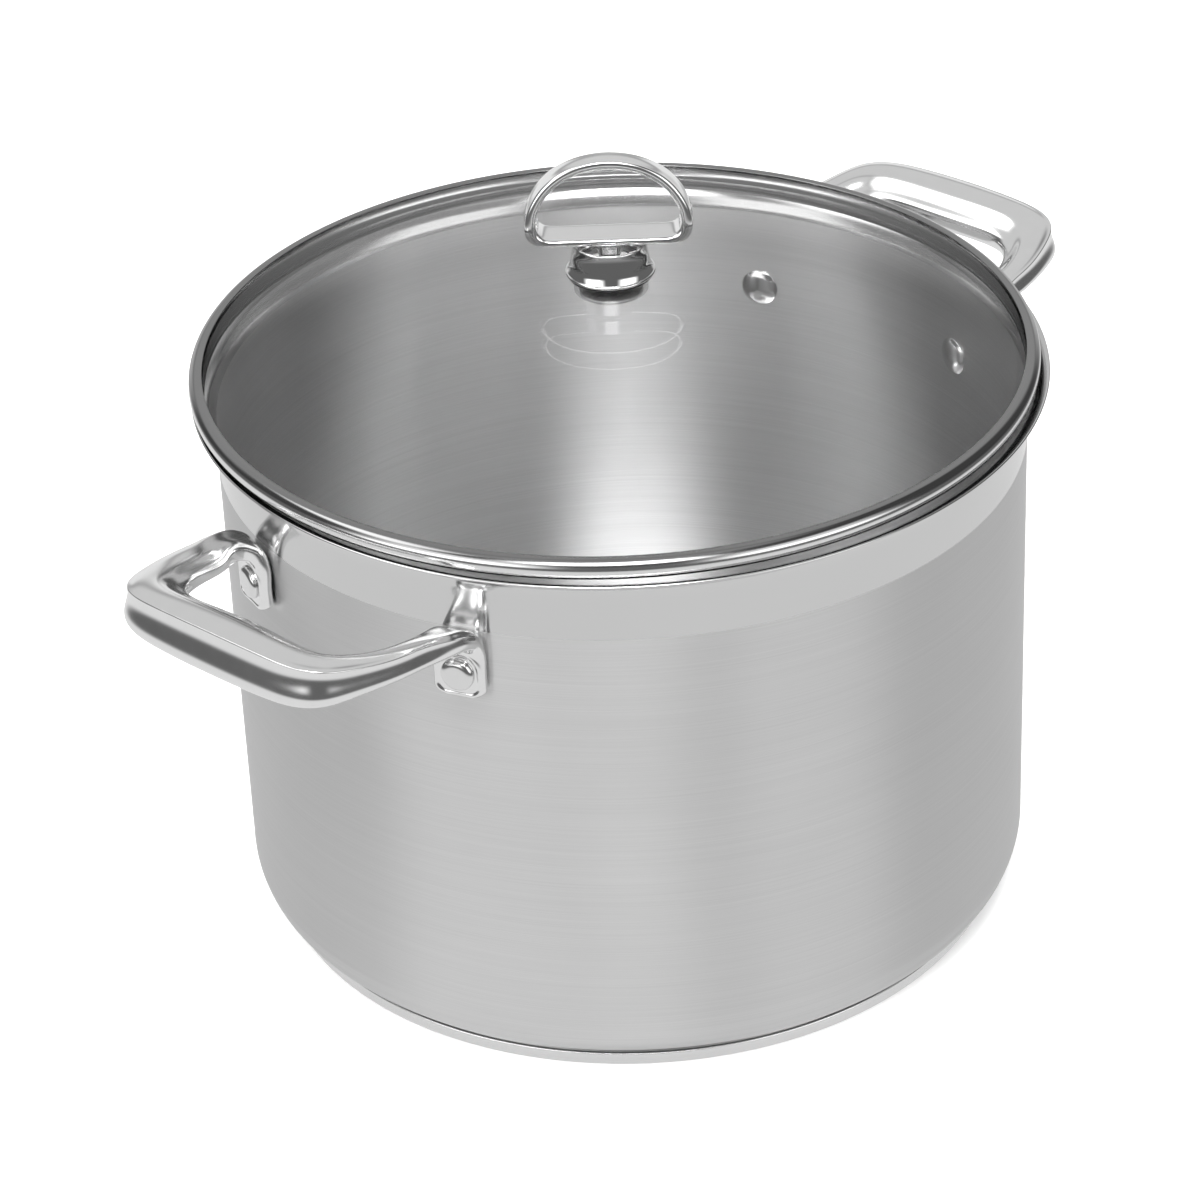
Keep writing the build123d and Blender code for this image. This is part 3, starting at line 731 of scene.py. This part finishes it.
# ================================================================ base
def base_core():
    corners = [(0.0, CAP_T), (CORE_R, CAP_T), (CORE_R, CORE_TOP_Z - 0.5),
               (CORE_R - 0.5, CORE_TOP_Z), (0.0, CORE_TOP_Z)]
    profile = soften(corners, [0, 0.7, 0.1, 0.1, 0])
    return lathe("base_core_disc", profile, CORE_METAL, segments=300)


def base_cap():
    """A shallow cup round the core, with three ring grooves underneath."""
    grooves = []
    for radius in GROOVE_RADII:
        outer = radius + GROOVE_WIDTH
        grooves += soften([(outer, 0.0), (outer, GROOVE_DEPTH), (radius, GROOVE_DEPTH),
                           (radius, 0.0)], [0.0, 0.1, 0.1, 0.0], steps=3)
    bore = CORE_R + 0.02
    profile = join(
        [(0.0, 0.0), (29.0, 0.0)], grooves[::-1], [(95.5, 0.0), (BASE_R - 2.2, 0.0)],
        arc(BASE_R - 1.5, 1.5, 1.5, -90, 0, 14),
        [(BASE_R, 2.2), (BASE_R, CAP_SIDE_Z - 0.5)],
        arc(BASE_R - 0.3, CAP_SIDE_Z - 0.3, 0.3, 0, 90, 6),
        [(bore, CAP_SIDE_Z), (bore, CAP_SIDE_Z - 0.4), (bore, CAP_T + 1.0)],
        arc(CORE_R - 0.68, CAP_T + 0.7, 0.7, 0, -90, 8),
        [(CORE_R - 2.0, CAP_T), (0.0, CAP_T)])
    return lathe("base_cap_cup", profile, BASE_STEEL, segments=360)


# ================================================================ cast handles
# the right handle's foot at +Y: directions out of the wall and round it
FOOT_TURN = math.radians(FOOT_ANGLE)
FOOT_OUT = np.array((math.cos(FOOT_TURN), math.sin(FOOT_TURN), 0.0))
FOOT_SIDE = np.array((-math.sin(FOOT_TURN), math.cos(FOOT_TURN), 0.0))

# grip sections from the middle of the handle to the neck:
# outer edge (x, y, z), inner edge (x, y, z), depth at the outer edge, depth at the inner edge
GRIP_STATIONS = [
    ((173.8, 0.0, 166.9), (156.4, 0.0, 161.8), 14.4, 4.8),
    ((173.7, 10.5, 166.8), (156.6, 9.0, 161.7), 14.3, 4.8),
    ((173.3, 21.0, 166.5), (156.8, 17.0, 161.4), 13.9, 4.7),
    ((172.0, 31.0, 165.9), (156.2, 23.8, 160.9), 13.0, 4.6),
    ((167.9, 38.2, 165.0), (153.8, 28.8, 160.2), 11.6, 4.5),
    ((160.8, 41.8, 163.7), (149.8, 32.0, 159.3), 9.6, 4.4),
    ((152.2, 44.2, 162.2), (144.8, 33.9, 158.4), 8.0, 4.2),
    ((143.0, 45.6, 160.9), (138.6, 34.8, 157.4), 7.2, 3.9),
    ((134.4, 45.9, 159.8), (132.0, 35.2, 156.7), 6.8, 3.6),
]
GRIP_WIDTH = 17.3     # width at which the section's fixed offsets apply unscaled

# foot sections from the neck down to the pad's end:
# distance from the pot's axis, z, tilt in degrees, half width, half thickness, shift sideways
FOOT_STATIONS = [
    (129.2, 155.0, 10, 6.1, 3.2, 0.0),
    (126.0, 153.9, 38, 6.7, 2.95, 0.1),
    (124.2, 151.4, 67, 7.4, 2.6, 0.1),
    (PAD_MID_R, 148.2, 90, 7.9, 2.25, 0.0),
    (PAD_MID_R, 143.0, 90, 8.0, PAD_HALF_T, 0.0),
    (PAD_MID_R, 137.0, 90, 8.0, PAD_HALF_T, 0.0),
    (PAD_MID_R, 135.0, 90, 7.4, 2.1, 0.0),
    (PAD_MID_R, 134.0, 90, 6.0, 1.7, 0.0),
]
# a foot section's points, in half widths and half thicknesses
FOOT_SECTION = [
    (0.92, 0.55), (0.62, 1.0), (0.2, 1.0), (-0.2, 1.0), (-0.62, 1.0), (-0.95, 0.6),
    (-1.0, 0.0), (-0.92, -0.7), (-0.45, -1.0), (0.45, -1.0), (0.92, -0.7), (1.0, 0.0),
]
# samples to each interval round a section
SECTION_SAMPLES = [3, 6, 8, 8, 8, 6, 6, 6, 12, 36, 14, 12, 14, 3]
# rounded ends under the pads: drop, and size against the last section
PAD_END_RINGS = [(0.18, 0.965), (0.34, 0.89), (0.44, 0.78), (0.50, 0.62)]

# the recess round each rivet
RECESS_HALF, RECESS_DEPTH = 6.1, 0.42
RECESS_TOP_CORNER_R, RECESS_LOW_CORNER_R = 4.8, 2.6
BEAD_OFFSET, BEAD_WIDTH, BEAD_HEIGHT = 0.85, 0.55, 0.22


def grip_section(outer, inner, outer_depth, inner_depth):
    """Twelve points round the grip, from the top of its outer edge."""
    span_x, span_y = outer[0] - inner[0], outer[1] - inner[1]
    width = math.hypot(span_x, span_y)
    outward = np.array((span_x / width, span_y / width, 0.0))
    upward = np.array((0.0, 0.0, 1.0))
    rise = outer[2] - inner[2]
    low = rise - outer_depth
    size = width / GRIP_WIDTH
    # distance out from the inner edge, height above it
    points = [
        (width - 0.7 * size, rise + 0.1 * size), (width * 0.84, rise + 0.55 * size),
        (width * 0.60, rise + 0.7 * size), (width * 0.36, rise - 0.5 * size),
        (width * 0.15, rise * 0.36), (0.0, 0.0), (-0.55, -inner_depth * 0.42),
        (0.35, -inner_depth), (width * 0.42, -inner_depth * 0.62 + low * 0.38 - 0.4),
        (width - 1.4 * size, low + 0.1 * size), (width + 0.75 * size, low + 2.0 * size),
        (width + 0.15 * size, rise - outer_depth * 0.42),
    ]
    return np.array([np.array(inner) + outward * out + upward * up for out, up in points])


def foot_section(reach, height, tilt, half_width, half_thickness, shift):
    """Twelve points round the foot; the tilt turns its thickness from upright to level."""
    lean = math.radians(tilt)
    through = np.array((0.0, 0.0, math.cos(lean))) - FOOT_OUT * math.sin(lean)
    middle = FOOT_OUT * reach + FOOT_SIDE * shift + np.array((0, 0, height))
    return np.array([middle + FOOT_SIDE * (side * half_width) + through * (up * half_thickness)
                     for side, up in FOOT_SECTION])


def handle_sweep():
    """A dense grid of rings through the stations, from the foot at -Y to the foot at +Y."""
    half = ([grip_section(*station) for station in GRIP_STATIONS]
            + [foot_section(*station) for station in FOOT_STATIONS])
    stations = [section * np.array((1.0, -1.0, 1.0)) for section in half[:0:-1]] + half
    rings = []
    for section in stations:
        # two more knots by the outer ridge keep its edge crisp
        before = section[0] + (section[11] - section[0]) * 0.10
        after = section[0] + (section[1] - section[0]) * 0.22
        knots = np.vstack([section[:1], [after], section[1:], [before]])
        rings.append(spline_points(knots, SECTION_SAMPLES, periodic=True))
    rings = np.array(rings)
    along = distances(rings.mean(axis=1))
    slopes = spline_slopes(along, rings)
    middle = len(half) - 1
    dense = []
    for k in range(len(stations) - 1):
        gap = along[k + 1] - along[k]
        from_middle = min(abs(k - middle), abs(k + 1 - middle))
        if from_middle < 8:
            steps = 10
        elif from_middle < 12:
            steps = 14
        else:
            steps = max(4, int(gap / 0.2))
        for u in np.arange(steps) / steps:
            dense.append(hermite(rings[k], rings[k + 1], slopes[k] * gap, slopes[k + 1] * gap, u))
    dense.append(rings[-1])
    return np.array(dense)


def ease_lengthwise(rings):
    """Smooths the run along the handle, more on the grip and hardly at all on the pads."""
    middles = rings.mean(axis=1)
    along = distances(middles)
    reach = 0.05 + 2.6 * np.clip((middles[:, 2] - 149.5) / 4.5, 0, 1)
    weight = np.exp(-0.5 * ((along[:, None] - along[None, :]) / reach[:, None]) ** 2)
    weight *= np.gradient(along)[None, :]
    weight /= weight.sum(axis=1)[:, None]
    return np.einsum("ij,jkl->ikl", weight, rings)


def pad_end(ring):
    """Shrinking rings below the last section of a pad."""
    middle = ring.mean(axis=0)
    caps = []
    for drop, size in PAD_END_RINGS:
        cap = middle + (ring - middle) * size
        cap[:, 2] = ring[:, 2] - drop
        caps.append(cap)
    return np.array(caps)


def recess_pads(points):
    """Sinks a flat recess with a raised, rounded border into each pad's outer face, in place."""
    for sign in (-1.0, 1.0):
        mirror = np.array((1, sign, 1))
        out = FOOT_OUT * mirror
        reach, side = points @ out, points @ (FOOT_SIDE * mirror)
        height = points[:, 2] - RIVET_Z
        near = ((np.abs(side) < 9.0) & (height < 12.0) & (reach > 124.0) & (reach < 128.0)
                & (points[:, 2] > 132))
        # distance outside the rounded square of the recess
        corner = np.where(height > 0, RECESS_TOP_CORNER_R, RECESS_LOW_CORNER_R)
        over_side = np.abs(side) - (RECESS_HALF - corner)
        over_height = np.abs(height) - (RECESS_HALF - corner)
        outside = (np.hypot(np.maximum(over_side, 0), np.maximum(over_height, 0))
                   + np.minimum(np.maximum(over_side, over_height), 0) - corner)
        u = np.clip((0.30 - outside) / 0.75, 0, 1)
        sink = (u * u * (3 - 2 * u)) * RECESS_DEPTH
        bead = np.exp(-((outside - BEAD_OFFSET) / BEAD_WIDTH) ** 2) * BEAD_HEIGHT
        fade = np.clip((10.0 - height) / 3.0, 0, 1)
        moved = reach + (bead - sink) * fade
        flatness = np.clip((-0.05 - outside) / 0.4, 0, 1)
        final = np.where(near, moved * (1 - flatness) + RECESS_R * flatness, reach)
        points += np.outer(final - reach, out)


def rest_on_wall(points):
    """Moves points that lie inside the wall's outer face out to it, in place."""
    face_r = WALL_R + 0.02
    radius = np.hypot(points[:, 0], points[:, 1])
    scale = np.where(radius < face_r, face_r / np.maximum(radius, 1e-6), 1.0)
    points[:, :2] *= scale[:, None]


def handle_mesh():
    """Points and faces of the right-hand handle."""
    rings = ease_lengthwise(handle_sweep())
    rings = np.concatenate([pad_end(rings[0])[::-1], rings, pad_end(rings[-1])])
    row_count, around = rings.shape[:2]
    points = rings.reshape(-1, 3)
    recess_pads(points)
    rest_on_wall(points)
    rows = np.arange(row_count * around).reshape(row_count, around).tolist()
    faces = []
    for lower, upper in zip(rows, rows[1:]):
        faces += row_faces(lower, upper)
    # a fan closes each end
    verts = points.tolist()
    for row in (rows[0], rows[-1]):
        faces += row_faces(row, [len(verts)])
        verts.append(points[row].mean(axis=0).tolist())
    return np.array(verts), faces


# ================================================================ rivets
def rivet(name, side, foot):
    """A rivet through the wall and the pad; angles in degrees about the pot's axis."""
    turn = math.radians(side + foot)
    out = np.array((math.cos(turn), math.sin(turn), 0.0))
    around = np.array((-math.sin(turn), math.cos(turn), 0.0))
    upward = np.array((0.0, 0.0, 1.0))
    seat = 120.0     # the inner head's flat side
    # all as (distance from the rivet's axis, distance from the pot's axis)
    inner_head = [(0.0, 118.1), (2.9, 118.45), (5.2, 119.2), (5.85, 119.62)]
    outer_head = [(OUTER_HEAD_R, RECESS_R + 0.5), (4.72, RECESS_R + 0.98),
                  (4.15, RECESS_R + 1.45), (3.3, RECESS_R + 1.75),
                  (2.4, RECESS_R + 1.84), (0.0, RECESS_R + 1.88)]
    profile = join(
        spline_points(inner_head, 8), arc(5.85, 119.80, 0.15, -60, 60, 4),
        [(5.9, seat), (3.2, seat)],
        line((SHANK_R, seat), (SHANK_R, RECESS_R), 4),
        line((SHANK_R, RECESS_R), (OUTER_HEAD_R - 0.1, RECESS_R), 3),
        [(OUTER_HEAD_R, RECESS_R + 0.1), (OUTER_HEAD_R, RECESS_R + 0.45)],
        spline_points(outer_head, 6))

    def point_at(radius, reach, angle):
        axis_point = out * reach + upward * RIVET_Z
        return tuple(axis_point + around * (radius * math.cos(angle))
                     + upward * (radius * math.sin(angle)))

    verts, rows = turned_rows(profile, full_turn(72), point_at)
    faces = []
    for lower, upper in zip(rows, rows[1:]):
        faces += row_faces(lower, upper)
    return mesh_object(name, verts, faces, RIVET_STEEL)


# ================================================================ lid glass and its rolled band
def dome_z(radius):
    """Height of the glass's upper face, a part of a sphere through its apex and rim."""
    rise = GLASS_APEX_Z - GLASS_RIM_Z
    sphere_r = (GLASS_RIM_R ** 2 + rise ** 2) / (2 * rise)
    return GLASS_APEX_Z - sphere_r + math.sqrt(sphere_r ** 2 - radius ** 2)


def lid_glass():
    """The dome, with a hole at its middle and a rounded edge."""
    top = [(radius, dome_z(radius)) for radius in spread(GLASS_HOLE_R, GLASS_FACE_R, 64)]
    under = [(radius, dome_z(radius) - GLASS_T)
             for radius in spread(GLASS_FACE_R, GLASS_HOLE_R, 64)]
    middle_z = (top[-1][1] + under[0][1]) / 2
    half = (top[-1][1] - under[0][1]) / 2
    edge = [(GLASS_FACE_R + (GLASS_EDGE_R - GLASS_FACE_R) * math.cos(math.radians(angle)),
             middle_z + half * math.sin(math.radians(angle))) for angle in range(80, -81, -10)]
    return lathe("glass_dome", join(top, edge, under), LID_GLASS, 360, LID_SHIFT, closed=True)


# middle line of the band's sheet, from on top of the glass to below it: radius, z
BAND_LINE = [
    (122.25, 180.42), (123.3, 180.55), (124.5, 180.28), (125.4, 179.5), (125.9, 178.4),
    (125.98, 177.2), (125.72, 176.1), (125.1, 175.25), (124.3, 174.85), (123.4, 174.76),
    (122.6, 174.70), (122.08, 174.35), (121.98, 173.85),
]


def lid_band():
    path = spline_points(BAND_LINE, 7)
    ahead = np.gradient(path, axis=0)
    ahead /= np.linalg.norm(ahead, axis=1)[:, None]
    side = np.stack([-ahead[:, 1], ahead[:, 0]], axis=1)
    half = BAND_T / 2

    def round_end(point, outward, start_side):
        angles = [math.pi * k / 8 for k in range(1, 8)]
        return [tuple(point + half * (start_side * math.cos(angle) + outward * math.sin(angle)))
                for angle in angles]

    profile = ([tuple(point) for point in path + side * half]
               + round_end(path[-1], ahead[-1], side[-1])
               + [tuple(point) for point in (path - side * half)[::-1]]
               + round_end(path[0], -ahead[0], -side[0]))
    return lathe("rolled_band", profile, BAND_STEEL, 480, LID_SHIFT, closed=True)


# ================================================================ knob
def knob_cup():
    """The open cup under the loop, with a flange at its base."""
    base, floor_z, rim_z = CUP_BASE_Z, CUP_FLOOR_Z, CUP_TOP_Z - 0.8
    bore = 2.8
    wall = spline_points([(CUP_FLANGE_R - 0.5, base + 0.98), (12.45, base + 1.55),
                          (12.0, base + 2.6), (11.6, base + 4.6), (11.15, base + 7.2),
                          (10.9, rim_z)], 8)
    inside = spline_points([(10.0, rim_z), (10.2, base + 7.0), (10.45, base + 4.0),
                            (10.4, floor_z + 0.7)], 8)
    profile = join(
        [(bore, base), (3.2, base), (8.0, base), (CUP_FLANGE_R - 0.8, base)],
        arc(CUP_FLANGE_R - 0.5, base + 0.49, 0.49, -90, 90, 14),
        wall, arc(10.45, rim_z, 0.45, 0, 180, 14), inside,
        [(10.25, floor_z + 0.25), (9.8, floor_z), (6.0, floor_z), (bore, floor_z)])
    return lathe("knob_cup_turned", profile, CUP_STEEL, 192, LID_SHIFT, closed=True)


# one half of the loop from its top to the bar: x along the knob, z
LOOP_OUTER = [(0.0, 242.0), (8.0, 240.9), (14.6, 238.0), (19.3, 234.0), (22.9, 228.4),
              (24.6, 222.6), (24.1, 218.6), (21.8, 216.2), (18.0, 215.6)]
LOOP_INNER = [(0.0, 239.3), (7.6, 238.2), (13.4, 235.5), (17.6, 231.6), (20.4, 226.8),
              (21.2, 222.6), (20.4, 219.6), (18.4, 218.2), (15.5, 217.9)]
BAR_X = [13.0, 10.0, 6.8, 4.0, 1.5, -1.5, -4.0, -6.8, -10.0, -13.0]
LOOP_DEPTH_LOW, LOOP_DEPTH_TOP = 11.4, 7.8
# the loop's section: share of its depth, share of its thickness (0 inner face, 1 outer face)
LOOP_SECTION = [
    (-0.5, 0.72), (-0.455, 0.96), (-0.38, 1.0), (-0.30, 1.0), (-0.15, 1.03), (0.0, 1.05),
    (0.15, 1.03), (0.30, 1.0), (0.38, 1.0), (0.455, 0.96), (0.5, 0.72), (0.5, 0.28),
    (0.455, 0.04), (0.33, 0.0), (0.0, -0.02), (-0.33, 0.0), (-0.455, 0.04), (-0.5, 0.28),
]
# the stem grows from an opening in the bar's underside
OPENING_BARS = (3, 4, 5, 6)            # places in BAR_X
OPENING_COLUMNS = (3, 4, 5, 6, 7)      # places in LOOP_SECTION
OPENING_HALF_X, OPENING_HALF_Y = 4.0, 0.30 * LOOP_DEPTH_LOW
# four-sided rings of the stem: z, half size along the knob, half size across it
STEM_RINGS = [(215.05, 3.15, 3.3), (214.1, 2.75, 3.25), (212.4, 2.65, 3.25),
              (211.0, 2.65, 3.3), (210.55, 2.9, 3.5)]
# round rings of the foot, over its rim to the underside and up into its hole: z, radius
STEM_FOOT_RINGS = [
    (210.45, 5.6), (210.3, 6.1), (209.6, 6.2), (206.9, 6.2), (206.4, 6.1),
    (CUP_FLOOR_Z, 5.6), (CUP_FLOOR_Z, 3.2), (206.35, 2.6), (206.8, 2.5), (209.8, 2.5),
    (210.0, 1.2),
]


def loop_edge(half, bar_z):
    """The whole of one face of the loop: left end of the bar, over the top, back along the bar."""
    whole = [(-x, z) for x, z in half[:0:-1]] + half
    return np.vstack([spline_points(whole, 2), [(x, bar_z) for x in BAR_X]])


def knob_loop():
    """The D-shaped loop, its stem and its foot as one subdivision cage."""
    outer = loop_edge(LOOP_OUTER, LOOP_OUTER[-1][1])
    inner = loop_edge(LOOP_INNER, LOOP_INNER[-1][1])
    # x runs along the knob and y across it until the cage is turned at the end
    cage = []
    for (outer_x, outer_z), (inner_x, inner_z) in zip(outer, inner):
        rise = min(max(((outer_z + inner_z) / 2 - 222.0) / 18.0, 0.0), 1.0)
        depth = LOOP_DEPTH_LOW + (LOOP_DEPTH_TOP - LOOP_DEPTH_LOW) * rise
        for across, through in LOOP_SECTION:
            cage.append((inner_x + (outer_x - inner_x) * through, across * depth,
                         inner_z + (outer_z - inner_z) * through))
    count, around = len(outer), len(LOOP_SECTION)
    rows = [list(range(s * around, (s + 1) * around)) for s in range(count)]
    open_rows = [count - len(BAR_X) + k for k in OPENING_BARS]
    faces = []
    for s in range(count):
        skip = OPENING_COLUMNS[:-1] if s in open_rows[:-1] else ()
        faces += row_faces(rows[s], rows[(s + 1) % count], skip)

    first, last = OPENING_COLUMNS[0], OPENING_COLUMNS[-1]
    border = ([rows[open_rows[0]][column] for column in OPENING_COLUMNS]
              + [rows[row][last] for row in open_rows[1:]]
              + [rows[open_rows[-1]][column] for column in OPENING_COLUMNS[-2::-1]]
              + [rows[row][first] for row in open_rows[-2:0:-1]])
    shares = [(cage[k][0] / OPENING_HALF_X, cage[k][1] / OPENING_HALF_Y) for k in border]
    angles = [math.atan2(y, x) for x, y in shares]
    rings = [[(x * half_x, y * half_y, z) for x, y in shares] for z, half_x, half_y in STEM_RINGS]
    rings += [[(radius * math.cos(angle), radius * math.sin(angle), z) for angle in angles]
              for z, radius in STEM_FOOT_RINGS]
    previous = border
    for ring in rings:
        numbers = list(range(len(cage), len(cage) + len(ring)))
        cage += ring
        faces += row_faces(previous, numbers)
        previous = numbers
    faces.append(tuple(previous))

    turn = math.radians(KNOB_TURN)
    verts = [(LID_SHIFT[0] + math.cos(turn) * x - math.sin(turn) * y,
              LID_SHIFT[1] + math.sin(turn) * x + math.cos(turn) * y, z) for x, y, z in cage]
    ob = mesh_object("knob_loop_cast", verts, faces, KNOB_STEEL)
    rounding = ob.modifiers.new("round", "SUBSURF")
    rounding.levels = rounding.render_levels = 3
    return ob


def upper_gasket():
    """The ring between the glass and the cup."""
    edge_z = dome_z(GASKET_R)
    profile = join(
        [(radius, dome_z(radius)) for radius in (GASKET_HOLE_R, GASKET_MID_R, GASKET_R)],
        arc(GASKET_R, (edge_z + CUP_BASE_Z) / 2, (CUP_BASE_Z - edge_z) / 2, -90, 90, 8),
        [(GASKET_MID_R, CUP_BASE_Z), (GASKET_HOLE_R, CUP_BASE_Z)])
    return lathe("gasket_upper_ring", profile, SEAL_RUBBER, 128, LID_SHIFT, closed=True)


# ================================================================ build the pieces
def place(ob, body, node):
    """Hands a piece to its body and hides the node it stands in for."""
    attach(ob, body)
    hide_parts(node)


place(pot_body(), "pot", "pot_shell")
place(base_core(), "pot", "base_core")
place(base_cap(), "pot", "base_cap")

handle_points, handle_faces = handle_mesh()
for side, sign in (("right", 1.0), ("left", -1.0)):
    points = handle_points * np.array((sign, sign, 1.0))
    handle = mesh_object(f"handle_{side}_cast", points, handle_faces, HANDLE_STEEL)
    place(handle, "pot", f"handle_{side}")
for side, side_angle in (("right", 0), ("left", 180)):
    for letter, foot_angle in (("a", FOOT_ANGLE), ("b", -FOOT_ANGLE)):
        node = f"rivet_{side}_{letter}"
        place(rivet(node + "_set", side_angle, foot_angle), "pot", node)

place(lid_glass(), "lid", "lid_glass")
place(lid_band(), "lid", "lid_band")
place(knob_cup(), "lid", "knob_cup")
place(knob_loop(), "lid", "knob_loop")
place(upper_gasket(), "lid", "knob_gasket_upper")

# the first four nodes are kept as they are; the replaced ones carry their finish too
NODE_FINISHES = [
    ("knob_gasket_lower", CLEAR_SILICONE), ("knob_sleeve", SEAL_RUBBER),
    ("knob_washer", HARDWARE_STEEL), ("knob_screw", HARDWARE_STEEL),
    ("pot_shell", BODY_STEEL), ("base_core", CORE_METAL), ("base_cap", BASE_STEEL),
    ("handle_left", HANDLE_STEEL), ("handle_right", HANDLE_STEEL),
    ("rivet_left_a", RIVET_STEEL), ("rivet_left_b", RIVET_STEEL),
    ("rivet_right_a", RIVET_STEEL), ("rivet_right_b", RIVET_STEEL),
    ("lid_glass", LID_GLASS), ("lid_band", BAND_STEEL), ("knob_cup", CUP_STEEL),
    ("knob_loop", KNOB_STEEL), ("knob_gasket_upper", SEAL_RUBBER),
]
for node, mat in NODE_FINISHES:
    NODES[node].data.materials.clear()
    NODES[node].data.materials.append(mat)

# ================================================================ floor, in metres
FLOOR_HALF, FLOOR_CELLS, FLOOR_Z = 6.0, 24, -0.00005


def floor_material():
    """White paper; in reflections it glows with the studio's light instead, with a little painted
    shade by the pot.
    """
    mat, graph, bsdf = new_material("floor")
    geometry = graph.new("ShaderNodeNewGeometry")
    toward = graph.vmath("SCALE", geometry.outputs["Incoming"], scale=-1.0)
    seen = studio(graph, toward)
    x, y, _ = graph.split(graph.position())
    # painted shade: the studio seen in reflections of the floor is darkened near the pot's base
    near = graph.step(graph.length(x, y), start=0.112, end=0.126, before=0.85, after=1.0)
    glow = graph.fill(graph.new("ShaderNodeEmission"),
                      {"Color": graph.vmath("SCALE", seen, scale=near)})
    grain = graph.noise(graph.position(), scale=300.0, detail=3.0)
    paper = graph.fill(graph.new("ShaderNodeBsdfDiffuse"),
                       {"Color": graph.grey(graph.scaled(grain, gain=0.01, offset=0.89))})
    path = graph.new("ShaderNodeLightPath")
    camera_lift = 0.22     # light added only where the camera sees the paper
    lift = graph.fill(graph.new("ShaderNodeEmission"), {
        "Color": (1, 1, 1),
        "Strength": graph.multiply(path.outputs["Is Camera Ray"], camera_lift),
    })
    sheet = graph.fill(graph.new("ShaderNodeAddShader"),
                       {0: paper.outputs[0], 1: lift.outputs[0]})
    graph.set_surface(graph.mix_shader(path.outputs["Is Glossy Ray"], sheet.outputs[0],
                                       glow.outputs[0]))
    graph.tree.nodes.remove(bsdf)
    return mat


def build_floor():
    lines = spread(-FLOOR_HALF, FLOOR_HALF, FLOOR_CELLS)
    verts = [(x, y, FLOOR_Z) for y in lines for x in lines]
    across = FLOOR_CELLS + 1
    corners = [j * across + i for j in range(FLOOR_CELLS) for i in range(FLOOR_CELLS)]
    faces = [(k, k + 1, k + across + 1, k + across) for k in corners]
    floor = mesh_object("floor", verts, faces, floor_material(), unit=1.0)
    # an open sheet has no outside, so its normals may have come out downward
    if floor.data.polygons[0].normal.z < 0:
        floor.data.flip_normals()


build_floor()


# ================================================================ light and camera, in metres
def overhead_light():
    """A soft disc straight above; the metal mirrors only the studio."""
    data = bpy.data.lights.new("overhead", "AREA")
    data.energy = 33.0
    data.shape = "DISK"
    data.size = 2.4
    ob = bpy.data.objects.new("overhead", data)
    scene.collection.objects.link(ob)
    ob.location = (0.0, 0.0, 1.9)
    ob.rotation_mode = "QUATERNION"
    ob.rotation_quaternion = Vector((0.0, 0.0, -1.9)).to_track_quat("-Z", "Y")
    ob.visible_glossy = False
    ob.visible_camera = False


def camera():
    """Looks down at a point on the pot's axis, slightly rolled."""
    elevation, roll = math.radians(31.536), math.radians(-2.277)
    distance, target_z = 1.272553, 0.092189
    back = Vector((0.0, -math.cos(elevation), math.sin(elevation)))
    location = Vector((0.0, 0.0, target_z)) + back * distance
    level_right = Vector((1.0, 0.0, 0.0))
    level_up = level_right.cross(-back)
    right = math.cos(roll) * level_right + math.sin(roll) * level_up
    up = -math.sin(roll) * level_right + math.cos(roll) * level_up
    axes = Matrix((right, up, back)).transposed()
    turn = Matrix.Rotation(math.radians(-VIEW_TURN), 3, "Z")
    data = bpy.data.cameras.new("camera")
    data.sensor_fit = "HORIZONTAL"
    data.sensor_width = 36.0
    data.lens = 124.13616
    data.shift_x = -0.024200833
    data.shift_y = -0.00025583333
    data.clip_start, data.clip_end = 0.05, 50.0
    ob = bpy.data.objects.new("camera", data)
    scene.collection.objects.link(ob)
    ob.matrix_world = Matrix.Translation(turn @ location) @ (turn @ axes).to_4x4()
    scene.camera = ob


overhead_light()
camera()
scene.view_settings.view_transform = "Standard"
scene.view_settings.look = "None"
scene.view_settings.exposure = 0.0
scene.view_settings.gamma = 1.0
scene.cycles.max_bounces = 16
scene.cycles.glossy_bounces = 12
scene.cycles.diffuse_bounces = 4
scene.cycles.transmission_bounces = 12
scene.cycles.transparent_max_bounces = 24
